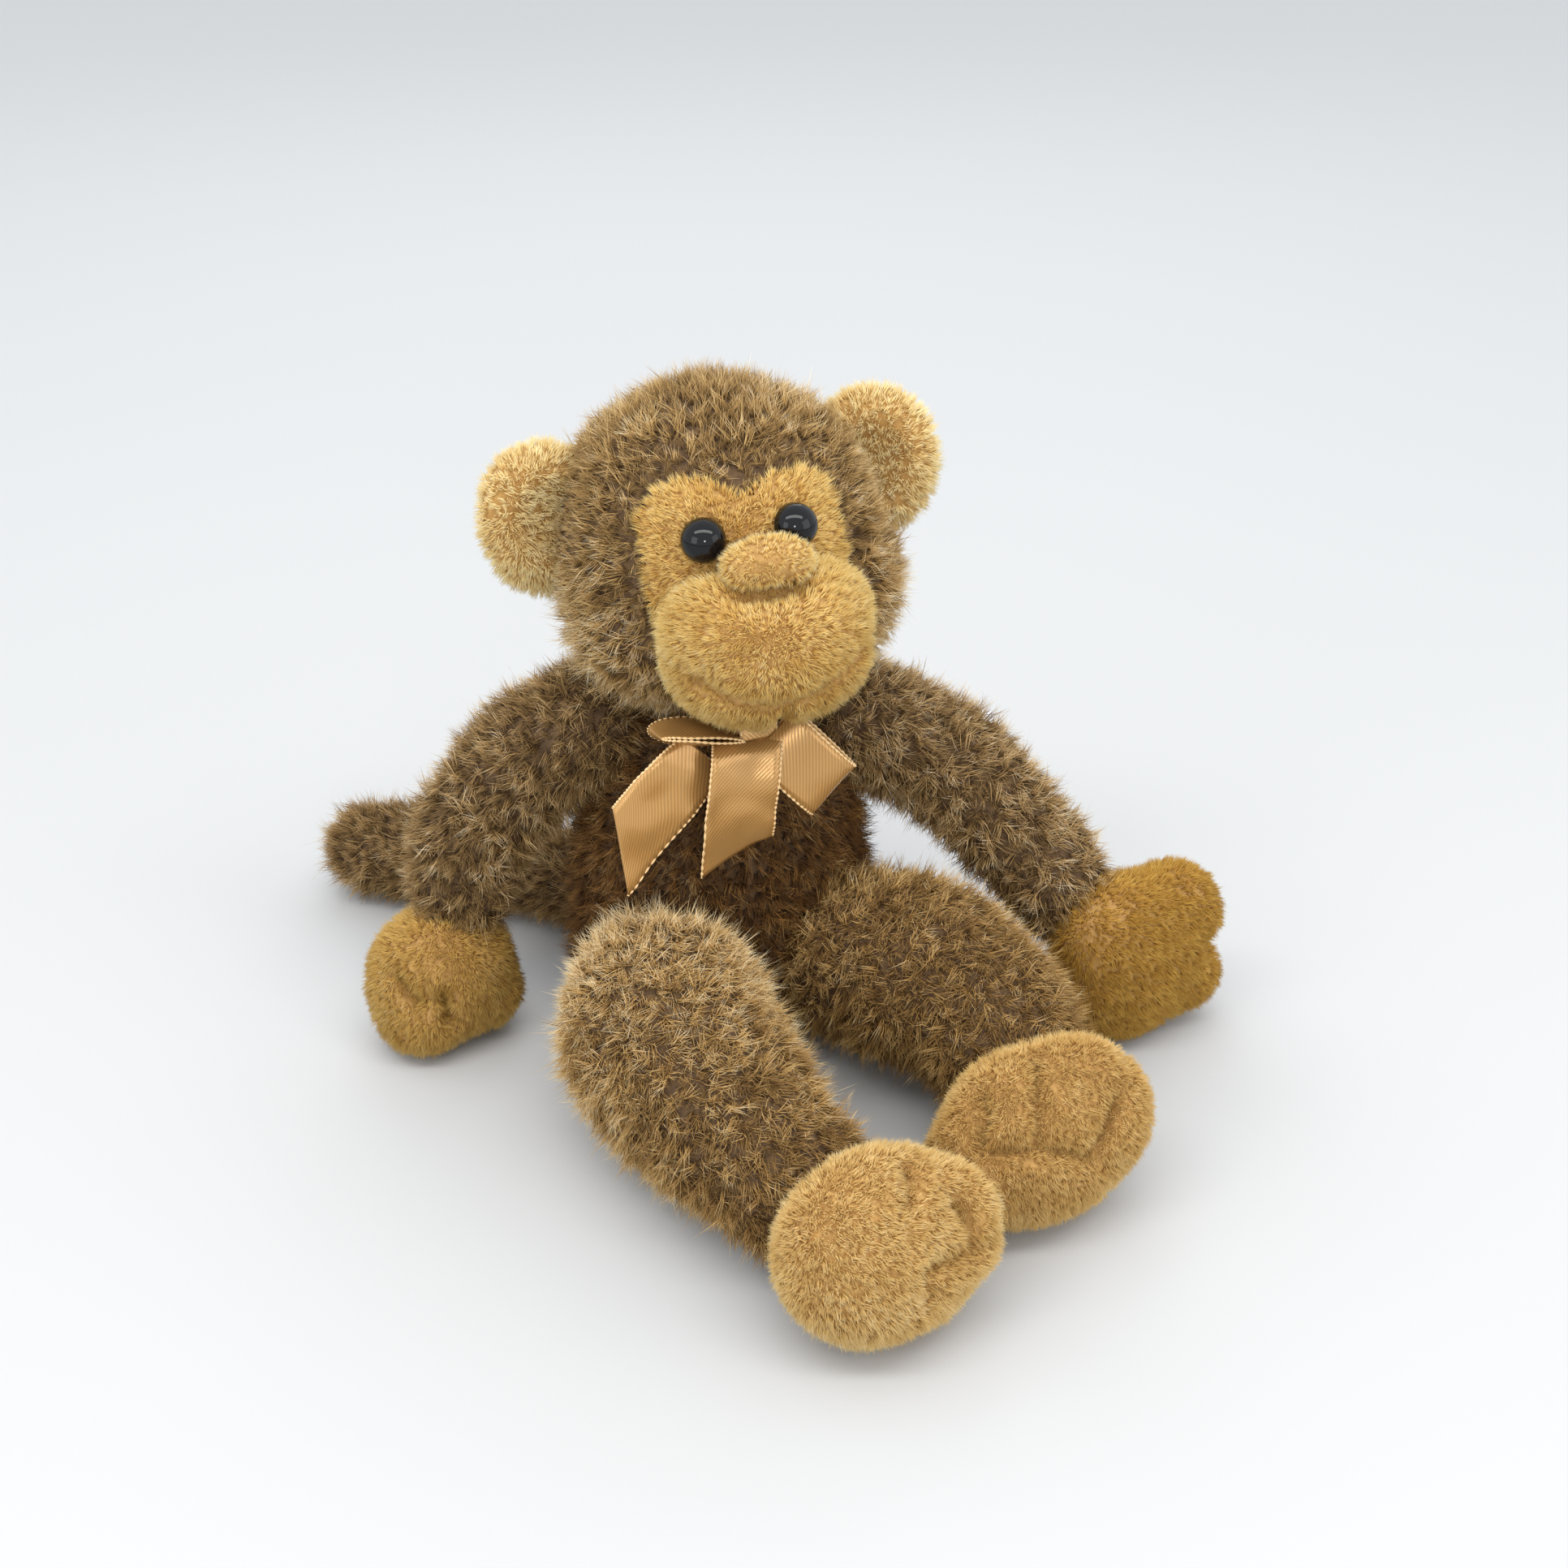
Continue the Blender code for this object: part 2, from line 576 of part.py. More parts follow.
def make_limbs():
    for side in ("right", "left"):
        for part, root, end, digit, spine, radii, oval in (
            ("arm", "shoulder", "hand", "finger", *ARMS[side], HANDS[side]),
            ("leg", "hip", "foot", "toe", *LEGS[side], FEET[side]),
        ):
            make_limb(f"{side}_{part}", spine, radii, "brown_plush")
            piece(f"{side}_{root}_gather", ring(spine[0], (1, 0, 0), *LIMB_GATHER), "thread")
            make_end(f"{side}_{end}", *oval, Vector(spine[-1]), radii[-1], f"{side}_{end}_beans")
            places, low, high = DIGITS[digit]
            for number, place in enumerate(places, 1):
                digit_thread(f"{side}_{digit}_thread_{number}", *oval, place, low, high)
    make_limb("tail", *TAIL, "brown_plush")


def set_origins():
    """Puts the origin of each moving piece on the joint that carries it."""
    carried = [
        (("head", "face", "muzzle", "mouth", "nose", "ear", "eye", "neck_gather"), NECK),
        (("tail",), TAIL[0][0]),
    ]
    for side in ("right", "left"):
        arm, leg = ARMS[side][0], LEGS[side][0]
        carried += [
            ((side + "_shoulder", side + "_arm"), arm[0]),
            ((side + "_hand", side + "_finger"), arm[-1]),
            ((side + "_hip", side + "_leg"), leg[0]),
            ((side + "_foot", side + "_toe"), leg[-1]),
        ]
    for thing in parts.objects:
        for names, joint in carried:
            if thing.name.startswith(names):
                set_origin(thing, joint)


clear_scene()
parts = add_collection("stuffed_monkey")
cutters = add_collection("cutters")
make_torso()
make_bow()
make_head()
make_limbs()
set_origins()
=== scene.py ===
"""Looks of a sitting plush monkey: stuffed forms with real pile, plastic eyes and a satin bow.

Sizes are metres, +Z is up and the monkey faces -Y, so its own right side is at -X. Each stuffed form is
grown from balls over the packed solids, then tufts are set all over it and lean the way the pile lies.
"""

import json
from math import cos, pi, radians, sin

import bmesh
import bpy
import numpy as np
from mathutils import Euler, Matrix, Vector, noise


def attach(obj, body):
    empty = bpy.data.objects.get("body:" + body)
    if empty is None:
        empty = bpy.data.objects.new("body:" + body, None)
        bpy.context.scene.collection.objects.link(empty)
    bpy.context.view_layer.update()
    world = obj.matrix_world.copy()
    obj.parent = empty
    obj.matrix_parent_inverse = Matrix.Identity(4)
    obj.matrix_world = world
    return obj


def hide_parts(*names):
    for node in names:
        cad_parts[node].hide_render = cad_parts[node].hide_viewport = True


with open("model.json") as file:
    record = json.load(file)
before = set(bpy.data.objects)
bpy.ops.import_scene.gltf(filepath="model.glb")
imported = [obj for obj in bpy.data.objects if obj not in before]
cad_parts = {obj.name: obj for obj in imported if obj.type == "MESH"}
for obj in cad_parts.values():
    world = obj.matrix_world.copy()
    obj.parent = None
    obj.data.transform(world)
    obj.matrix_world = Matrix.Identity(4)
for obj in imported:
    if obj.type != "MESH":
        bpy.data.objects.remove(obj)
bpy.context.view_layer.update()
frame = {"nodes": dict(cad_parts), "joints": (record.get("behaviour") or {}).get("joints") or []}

bl_info = {
    "name": "Plush Monkey",
    "version": (1, 0, 0),
    "blender": (4, 5, 0),
    "location": "3D View > Sidebar > Plush",
    "description": "Builds the pile, face, eyes and bow of a sitting plush monkey",
    "category": "Mesh",
}

MM = 0.001
BAKE_MAP = "OFBake"
JOINTS = {joint["name"]: Vector(joint["pos_m"]) for joint in frame["joints"]}
SIDES = (("right", -1), ("left", 1))

HEAD = Vector((4.0, -1.0, 143.5)) * MM
HEAD_TURN = Euler((radians(-1.0), radians(-5.0), radians(-6.0))).to_matrix()
HEAD_SIZE = Vector((43.5, 41.0, 41.5)) * MM
MUZZLE = Vector((0.0, -44.0, -13.0)) * MM
MUZZLE_SIZE = Vector((26.0, 19.0, 20.0)) * MM
NOSE = Vector((0.0, -51.5, 12.0)) * MM
EARS = {"right": Vector((-46.5, 7.0, 12.0)) * MM, "left": Vector((43.5, 7.0, 12.5)) * MM}

# Limbs between their two joints: the points passed on the way, and the radius at each point, in mm.
ARM_WAY = {
    "right": (((-53.5, 10, 78), (-66.5, 12, 62)), (16, 15, 14, 12.5)),
    "left": (((61, -15, 76), (76, -30, 60.5)), (16, 15.5, 14.5, 12.5)),
}
LEG_WAY = {
    "right": (((-32.5, -61, 29), (-29, -94, 27)), (22, 26.5, 22, 17.5)),
    "left": (((41, -52, 30), (49, -76, 30)), (21.5, 24, 21, 18)),
}
TAIL_WAY = (((-32, 61, 16), (-56, 81, 16), (-80, 97, 15)), (12, 12.5, 13, 12.5))
HANDS = {
    "right": ((-79, 8, 19.4), (21.5, 19.5, 19.0), 20),
    "left": ((106.5, -56, 24.5), (27.5, 16, 24.2), 20),
}
FEET = {
    "right": ((-9, -151.5, 22.6), (27, 21, 22.2), 10),
    "left": ((45, -123, 22.6), (31, 21, 22.2), 20),
}
# Smaller balls that round out a hand or a foot, as (place, size) in mm from its middle, in its own turn.
LOBES = {
    "right_hand": (((-8, -2, -6), (13, 15, 12)), ((9, -2, -6), (12, 15, 12)), ((2, 2, 8), (16, 14, 11))),
    "left_hand": (
        ((14, -1, 9.5), (13.5, 13, 13.5)), ((14, -1, -9), (13, 13, 13)), ((-9, 1, 6), (18, 14, 19)),
    ),
    "right_foot": (((-6, -2, 0), (21, 20, 21)), ((14, -4, 3), (13, 15, 14))),
    "left_foot": (((-20, -1, -1), (14, 13, 14)), ((10, -2, 3), (19, 19, 18))),
}
# Stitched creases over a hand or a foot, each a line of places on its oval as shares of its three sizes.
CREASES = {
    "right_hand": (
        ((-0.86, -0.23, 0.45), (-0.81, -0.50, 0.30), (-0.75, -0.65, 0.15)),
        ((-0.45, -0.86, 0.20), (-0.42, -0.90, 0.0), (-0.38, -0.90, -0.2)),
    ),
    "left_hand": (((1.02, 0.1, -0.02), (0.97, -0.25, -0.02), (0.80, -0.60, 0.0), (0.62, -0.78, 0.04)),),
    "right_foot": (
        ((0.19, -0.06, 0.98), (0.12, -0.33, 0.94), (0.02, -0.53, 0.85)),
        (
            (0.92, -0.17, 0.41), (0.85, -0.45, 0.26), (0.5, -0.85, 0.17), (0.04, -0.97, 0.22),
            (-0.03, -1.0, -0.02),
        ),
        ((0.45, -0.55, 0.70), (0.50, -0.70, 0.50), (0.5, -0.85, 0.17)),
    ),
    "left_foot": (
        ((-0.03, 0.09, 1.0), (-0.27, -0.32, 0.91), (-0.44, -0.63, 0.65), (-0.46, -0.73, 0.5)),
        ((0.63, -0.34, 0.7), (0.32, -0.75, 0.58), (0.13, -0.93, 0.35), (-0.04, -0.98, 0.2)),
        ((-0.58, 0.17, 0.8), (-0.71, -0.12, 0.69), (-0.8, -0.18, 0.57), (-0.88, -0.27, 0.4)),
        ((-0.88, -0.27, 0.4), (-0.47, -0.75, 0.42), (-0.05, -0.98, 0.12)),
    ),
}
TORSO_SIDE = (
    (0, 29), (2.5, 34), (9, 38.5), (22, 40.5), (40, 40), (56, 38.5), (70, 35.5), (82, 31), (92, 25),
    (100, 18.5), (106, 11),
)
TORSO_X, TORSO_DEPTH = 2.0, 0.85

# How fine the remeshed forms are.
VOXEL, MIDDLE_VOXEL, FINE_VOXEL = 1.9 * MM, 1.5 * MM, 1.2 * MM
# How far the filling lies under the cloth, and the height below which an underside has no pile.
FILLING_DEPTH, BARE_BELOW = 2.2 * MM, 2.5 * MM
# Tufts on each square millimetre.
UNDERCOAT, TOPCOAT, SHORT_PILE = 0.29, 0.15, 0.88
# What each form tells its pile: where there is any, how long, which way it lies, and how much lighter or
# darker it is, which is mostly painted light and shade.
FIELDS = ("pile", "reach", "comb", "shade")
# The five colours of a pile, in the order in which BROWNS and TANS give them.
SHADES = ("Root", "Dark", "Middle", "Tip", "Fleck")
# An eye's dome, the height of its rim and the stem behind it, in mm, and how flat the dome is.
EYE_RADIUS, EYE_SEAT, EYE_STEM, EYE_STEM_END = 5.7, 4.2, 1.6, -10.5
EYE_DOME = 0.86
SATIN_THICK, NARROWEST_SHEET = 0.4 * MM, 10 * MM
# The cord of fine loops along a ribbon's edge: step, length of a loop, thin radius and swell, in mm.
PICOT_STEP, PICOT_PITCH, PICOT_CORD, PICOT_SWELL = 0.3, 1.4, 0.10, 0.32

# Lens, sensor and what the camera looks at in mm, and half the floor in metres.
LENS, SENSOR, LOOK_AT, FLOOR_HALF = 55.43, 36.0, (25.47, 11.24, 60.0), 6.0
# Area lights: place and size in metres, power in watts, colour.
LIGHTS = {
    "key": ((-0.15, -0.45, 1.0), (1.5, 0.22), 6.8, (1.0, 0.985, 0.96)),
    "front": ((-0.22, -0.95, 0.44), (0.10, 0.10), 1.0, (1, 1, 1)),
    "side": ((-1.1, -0.6, 0.5), (0.6, 0.6), 2.4, (1, 1, 1)),
    "fill": ((0.9, -1.0, 0.5), (0.8, 0.8), 3.0, (1, 1, 1)),
    "rim": ((0.3, 1.0, 0.9), (0.9, 0.5), 2.6, (1, 1, 1)),
}
SKY, SKY_STRENGTH, PAPER = (0.93, 0.96, 1.0, 1.0), 1.22, (0.53, 0.532, 0.528)


# ---- settings ----


class PlushSettings(bpy.types.PropertyGroup):
    pile: bpy.props.FloatProperty(
        name="Long pile", description="Length of the brown pile", default=6.8 * MM, unit="LENGTH"
    )
    short_pile: bpy.props.FloatProperty(
        name="Short pile", description="Length of the tan pile", default=3.0 * MM, unit="LENGTH"
    )
    thickness: bpy.props.FloatProperty(
        name="Strand radius", description="Radius of a strand at its root", default=0.155 * MM, unit="LENGTH"
    )


class BowSettings(bpy.types.PropertyGroup):
    width: bpy.props.FloatProperty(
        name="Ribbon width", description="Width of the satin ribbon", default=19.0 * MM, unit="LENGTH"
    )
    colour: bpy.props.FloatVectorProperty(
        name="Ribbon colour", description="Colour of the satin", default=(0.46, 0.25, 0.078),
        subtype="COLOR", size=3,
    )


class StageSettings(bpy.types.PropertyGroup):
    distance: bpy.props.FloatProperty(
        name="Camera distance", description="From the camera to what it looks at", default=0.7, unit="LENGTH"
    )
    azimuth: bpy.props.FloatProperty(
        name="Camera azimuth", description="Turn of the camera round the object",
        default=radians(-20), subtype="ANGLE",
    )
    elevation: bpy.props.FloatProperty(
        name="Camera elevation", description="Height of the camera above the horizon",
        default=radians(27), subtype="ANGLE",
    )


# ---- meshes ----


def mm(*numbers):
    return Vector(numbers) * MM


def new_object(name, data):
    made = bpy.data.objects.new(name, data)
    bpy.context.scene.collection.objects.link(made)
    return made


def mesh_object(name, bm):
    """A new object at the origin that holds the bmesh."""
    mesh = bpy.data.meshes.new(name)
    bm.to_mesh(mesh)
    bm.free()
    return new_object(name, mesh)


def apply_modifiers(thing):
    graph = bpy.context.evaluated_depsgraph_get()
    mesh = bpy.data.meshes.new_from_object(
        thing.evaluated_get(graph), preserve_all_data_layers=True, depsgraph=graph
    )
    thing.modifiers.clear()
    old = thing.data
    thing.data = mesh
    mesh.name = thing.name
    bpy.data.meshes.remove(old)


def places_of(mesh):
    flat = np.empty(len(mesh.vertices) * 3, np.float32)
    mesh.vertices.foreach_get("co", flat)
    return flat.reshape(-1, 3).astype(float)


def normals_of(mesh):
    flat = np.empty(len(mesh.vertices) * 3, np.float32)
    mesh.vertex_normals.foreach_get("vector", flat)
    return flat.reshape(-1, 3).astype(float)


def move_to(mesh, places):
    mesh.vertices.foreach_set("co", places.astype(np.float32).ravel())
    mesh.update()


def even_out(thing, voxel, relax):
    """Makes one even closed surface of the mesh and relaxes it."""
    remesh = thing.modifiers.new("Remesh", "REMESH")
    remesh.mode = "VOXEL"
    remesh.voxel_size = voxel
    thing.modifiers.new("Smooth", "SMOOTH").iterations = relax
    apply_modifiers(thing)


def grown(name, balls, voxel=VOXEL, relax=6, hollows=()):
    """One smooth closed form round all the balls, each a (place, size, turn), less the hollows."""
    bm = bmesh.new()
    for place, size, turn in balls:
        matrix = Matrix.Translation(place) @ turn.to_4x4() @ Matrix.Diagonal((*size, 1.0))
        bmesh.ops.create_icosphere(bm, subdivisions=3, radius=1.0, matrix=matrix)
    made = mesh_object(name, bm)
    even_out(made, voxel, relax)
    if hollows:
        cutter = grown(name + "_hollow", hollows, voxel, 1)
        boolean = made.modifiers.new("Hollow", "BOOLEAN")
        boolean.operation = "DIFFERENCE"
        boolean.object = cutter
        apply_modifiers(made)
        bpy.data.objects.remove(cutter)
    made.data.shade_smooth()
    return made


def round_ball(place, radius):
    return (Vector(place), Vector((radius,) * 3), Matrix.Identity(3))


def along(knots, steps):
    """Points on a smooth curve through the knots, as an array."""
    knots = [np.array(k, float) for k in knots]
    last = len(knots) - 1
    found = []
    for i in range(last):
        a, b, c, d = knots[max(i - 1, 0)], knots[i], knots[i + 1], knots[min(i + 2, last)]
        for step in range(steps):
            t = step / steps
            found.append(
                0.5 * (2 * b + (c - a) * t + (2 * a - 5 * b + 4 * c - d) * t**2
                       + (3 * b - a - 3 * c + d) * t**3)
            )
    return np.array(found + [knots[-1]])


def lumps(thing, depth, span, seed):
    """Pushes the surface in and out a little, as loose filling does."""
    places, normals = places_of(thing.data), normals_of(thing.data)
    shift = Vector((seed * 7.3, seed * 3.1, seed * 5.7))
    push = np.array([noise.noise(Vector(p) / span + shift) for p in places]) * depth
    move_to(thing.data, places + normals * push[:, None])


def crease(thing, paths, depth, width):
    """Draws the surface in along stitched lines and says how far each vertex is from the nearest."""
    places, normals = places_of(thing.data), normals_of(thing.data)
    gap = np.full(len(places), 1e9)
    for path in paths:
        for point in along(path, 6):
            gap = np.minimum(gap, np.linalg.norm(places - point, axis=1))
    pull = depth * np.exp(-((gap / width) ** 2))
    move_to(thing.data, places - normals * pull[:, None])
    return gap


def set_field(mesh, name, values):
    kind, key = ("FLOAT_VECTOR", "vector") if values.ndim == 2 else ("FLOAT", "value")
    field = mesh.attributes.new(name, kind, "POINT")
    field.data.foreach_set(key, values.astype(np.float32).ravel())


# ---- materials ----


def group_of(name, inputs, outputs):
    """A new shader group and its input and output nodes."""
    tree = bpy.data.node_groups.new(name, "ShaderNodeTree")
    for label, kind, default in inputs:
        socket = tree.interface.new_socket(label, in_out="INPUT", socket_type=kind)
        socket.default_value = default
    for label, kind in outputs:
        tree.interface.new_socket(label, in_out="OUTPUT", socket_type=kind)
    return tree, tree.nodes.new("NodeGroupInput"), tree.nodes.new("NodeGroupOutput")


def node(tree, kind, inputs=None, **settings):
    """A new node whose inputs are given as sockets to link or as plain values."""
    made = tree.nodes.new(kind)
    for key, value in settings.items():
        setattr(made, key, value)
    for key, value in (inputs or {}).items():
        if isinstance(value, bpy.types.NodeSocket):
            tree.links.new(value, made.inputs[key])
        else:
            made.inputs[key].default_value = value
    return made


def mixed(tree, factor, first, second):
    """A colour mix of two sockets by a third."""
    return node(tree, "ShaderNodeMix", {"Factor": factor, 6: first, 7: second}, data_type="RGBA").outputs[2]


def ranged(tree, value, low, high):
    """The value's place between low and high, from 0 to 1, eased at both ends."""
    return node(
        tree, "ShaderNodeMapRange", {"Value": value, "From Min": low, "From Max": high},
        interpolation_type="SMOOTHSTEP",
    ).outputs["Result"]


def pile_colour_group():
    """Colour of a strand from its map: U is the tuft's tint and V runs from root to tip."""
    colour = "NodeSocketColor"
    tree, given, out = group_of(
        "PileColour",
        [(label, colour, (0.5, 0.5, 0.5, 1.0)) for label in SHADES],
        [("Colour", colour)],
    )
    uv = node(tree, "ShaderNodeUVMap", uv_map=BAKE_MAP).outputs["UV"]
    split = node(tree, "ShaderNodeSeparateXYZ", {0: uv}).outputs
    tint, height = split["X"], split["Y"]
    body = mixed(tree, ranged(tree, tint, 0.25, 0.7), given.outputs["Dark"], given.outputs["Middle"])
    tip = mixed(tree, ranged(tree, tint, 0.3, 0.75), given.outputs["Middle"], given.outputs["Tip"])
    tip = mixed(tree, ranged(tree, tint, 0.8, 0.95), tip, given.outputs["Fleck"])
    lower = mixed(tree, ranged(tree, height, 0.0, 0.4), given.outputs["Root"], body)
    whole = mixed(tree, ranged(tree, height, 0.35, 0.85), lower, tip)
    tree.links.new(whole, out.inputs["Colour"])


def principled(name, colour, roughness, **sockets):
    made = bpy.data.materials.new(name)
    made.use_nodes = True
    shader = made.node_tree.nodes["Principled BSDF"]
    shader.inputs["Base Color"].default_value = (*colour, 1.0)
    shader.inputs["Roughness"].default_value = roughness
    for label, value in sockets.items():
        shader.inputs[label.replace("_", " ")].default_value = value
    return made, made.node_tree, shader


def pile_material(name, *colours):
    _, tree, shader = principled(name, colours[2], 0.62, Specular_IOR_Level=0.25)
    group = tree.nodes.new("ShaderNodeGroup")
    group.node_tree = bpy.data.node_groups["PileColour"]
    for label, colour in zip(SHADES, colours):
        group.inputs[label].default_value = (*colour, 1.0)
    tree.links.new(group.outputs["Colour"], shader.inputs["Base Color"])


def patterned(tree, shader, pattern, stops, strength, distance):
    """Colours and bumps the shader by a pattern; stops are two pairs of a position and a colour."""
    ramp = node(tree, "ShaderNodeValToRGB", {"Fac": pattern})
    for element, (position, colour) in zip(ramp.color_ramp.elements, stops):
        element.position = position
        element.color = (*colour, 1.0)
    tree.links.new(ramp.outputs["Color"], shader.inputs["Base Color"])
    bump = node(tree, "ShaderNodeBump", {"Strength": strength, "Distance": distance, "Height": pattern})
    tree.links.new(bump.outputs["Normal"], shader.inputs["Normal"])


def cloth_material(name, colour, second, scale=420.0, roughness=0.9):
    """Knitted backing or other dull cloth, mottled on object coordinates."""
    _, tree, shader = principled(name, colour, roughness)
    where = tree.nodes.new("ShaderNodeTexCoord").outputs["Object"]
    grain = node(tree, "ShaderNodeTexNoise", {"Vector": where, "Scale": scale, "Detail": 3.0}).outputs["Fac"]
    patterned(tree, shader, grain, ((0.35, second), (0.65, colour)), 0.4, 0.2 * MM)


BROWNS = {
    "head": (
        (0.07, 0.035, 0.01), (0.21, 0.118, 0.036), (0.52, 0.32, 0.11), (0.88, 0.65, 0.33), (1.0, 0.88, 0.62),
    ),
    "torso": (
        (0.02, 0.008, 0.0015), (0.075, 0.03, 0.006), (0.20, 0.09, 0.019), (0.44, 0.24, 0.072),
        (0.65, 0.45, 0.20),
    ),
    "arm": (
        (0.045, 0.022, 0.006), (0.17, 0.095, 0.03), (0.44, 0.27, 0.10), (0.84, 0.62, 0.33), (1.0, 0.86, 0.60),
    ),
    "leg": (
        (0.06, 0.028, 0.007), (0.20, 0.105, 0.028), (0.50, 0.295, 0.092), (0.86, 0.62, 0.29),
        (1.0, 0.84, 0.54),
    ),
    "tail": (
        (0.045, 0.022, 0.006), (0.17, 0.095, 0.03), (0.40, 0.24, 0.085), (0.74, 0.52, 0.25),
        (0.92, 0.76, 0.48),
    ),
}
TANS = {
    "hand": (
        (0.30, 0.15, 0.028), (0.44, 0.235, 0.045), (0.62, 0.37, 0.09), (0.80, 0.54, 0.17), (0.88, 0.68, 0.32),
    ),
    "foot": (
        (0.40, 0.22, 0.055), (0.56, 0.33, 0.095), (0.74, 0.485, 0.17), (0.88, 0.65, 0.30), (0.93, 0.76, 0.44),
    ),
    "face": (
        (0.44, 0.225, 0.045), (0.62, 0.36, 0.085), (0.82, 0.55, 0.17), (0.95, 0.72, 0.31), (1.0, 0.85, 0.50),
    ),
    "ear": (
        (0.56, 0.35, 0.11), (0.76, 0.52, 0.20), (0.94, 0.75, 0.36), (1.0, 0.88, 0.54), (1.0, 0.93, 0.68),
    ),
    # A darker, more saturated copy of the hand colours for the left hand: painted shade.
    "left_hand": (
        (0.28, 0.13, 0.016), (0.41, 0.205, 0.027), (0.58, 0.325, 0.054), (0.75, 0.475, 0.105),
        (0.82, 0.60, 0.20),
    ),
}


# ---- pile ----


def strand(bm, root, lean, length, radius):
    """One bent, tapering three-sided strand. Its height above the root runs from 0 to its length."""
    ring = bmesh.ops.create_circle(bm, cap_ends=False, segments=3, radius=radius)["verts"]
    bmesh.ops.translate(bm, vec=root, verts=ring)
    edges = list({edge for vert in ring for edge in vert.link_edges})
    pushed = bmesh.ops.extrude_edge_only(bm, edges=edges)["geom"]
    middle = [v for v in pushed if isinstance(v, bmesh.types.BMVert)]
    halfway = root + Vector((0, 0, length / 2)) + lean * (length / 4)
    bmesh.ops.translate(bm, vec=halfway - root, verts=middle)
    bmesh.ops.scale(bm, vec=(0.75,) * 3, verts=middle, space=Matrix.Translation(-halfway))
    edges = [e for e in pushed if isinstance(e, bmesh.types.BMEdge)]
    pushed = bmesh.ops.extrude_edge_only(bm, edges=edges)["geom"]
    top = [v for v in pushed if isinstance(v, bmesh.types.BMVert)]
    tip = root + Vector((0, 0, length)) + lean * length
    bmesh.ops.pointmerge(bm, verts=top, merge_co=tip)


def spike(bm, root, lean, length, radius):
    """One straight strand that comes to a point."""
    ring = bmesh.ops.create_circle(bm, cap_ends=False, segments=3, radius=radius)["verts"]
    bmesh.ops.translate(bm, vec=root, verts=ring)
    edges = list({edge for vert in ring for edge in vert.link_edges})
    pushed = bmesh.ops.extrude_edge_only(bm, edges=edges)["geom"]
    top = [v for v in pushed if isinstance(v, bmesh.types.BMVert)]
    bmesh.ops.pointmerge(bm, verts=top, merge_co=root + Vector((0, 0, length)) + lean * length)


# Tufts: seed, unlike kinds, strand, strands in a tuft, spread, lean, how far they draw together, the setting
# that gives their length and a share of it, and a share of the strand radius.
TUFTS = {
    "undercoat": (3, 8, spike, 6, 1.3 * MM, 0.35, 0.3, "pile", 0.78, 0.95),
    "topcoat": (5, 12, strand, 4, 1.1 * MM, 0.42, 0.45, "pile", 1.0, 0.75),
    "short_pile": (7, 8, spike, 6, 0.9 * MM, 0.2, 0.1, "short_pile", 1.0, 0.85),
}


def tuft(name, rng, make, count, spread, lean, gather, length, radius):
    """A tuft of strands that start within `spread` and draw together towards a shared tip."""
    bm = bmesh.new()
    aim = Vector((*rng.normal(0, lean, 2), 0))
    longest = length * 1.12
    for _ in range(count):
        angle, out = rng.uniform(0, 2 * pi), spread * rng.uniform(0.2, 1.0)
        root = Vector((cos(angle) * out, sin(angle) * out, 0))
        stray = Vector((*rng.normal(0, lean * 0.35, 2), 0))
        own = length * rng.uniform(0.78, 1.12)
        make(bm, root, aim + stray - root * (gather / own), own, radius)
    bmesh.ops.recalc_face_normals(bm, faces=bm.faces)
    layer = bm.loops.layers.uv.new(BAKE_MAP)
    for face in bm.faces:
        for loop in face.loops:
            loop[layer].uv = (0.5, min(max(loop.vert.co.z / longest, 0.0), 1.0))
    mesh = bpy.data.meshes.new(name)
    bm.to_mesh(mesh)
    bm.free()
    return bpy.data.objects.new(name, mesh)


def tuft_collection(name, seed, kinds, *shape):
    """A few unlike tufts of one kind, kept out of the scene."""
    rng = np.random.default_rng(seed)
    held = bpy.data.collections.new(name)
    for number in range(kinds):
        held.objects.link(tuft(f"{name}_{number}", rng, *shape))
    return held


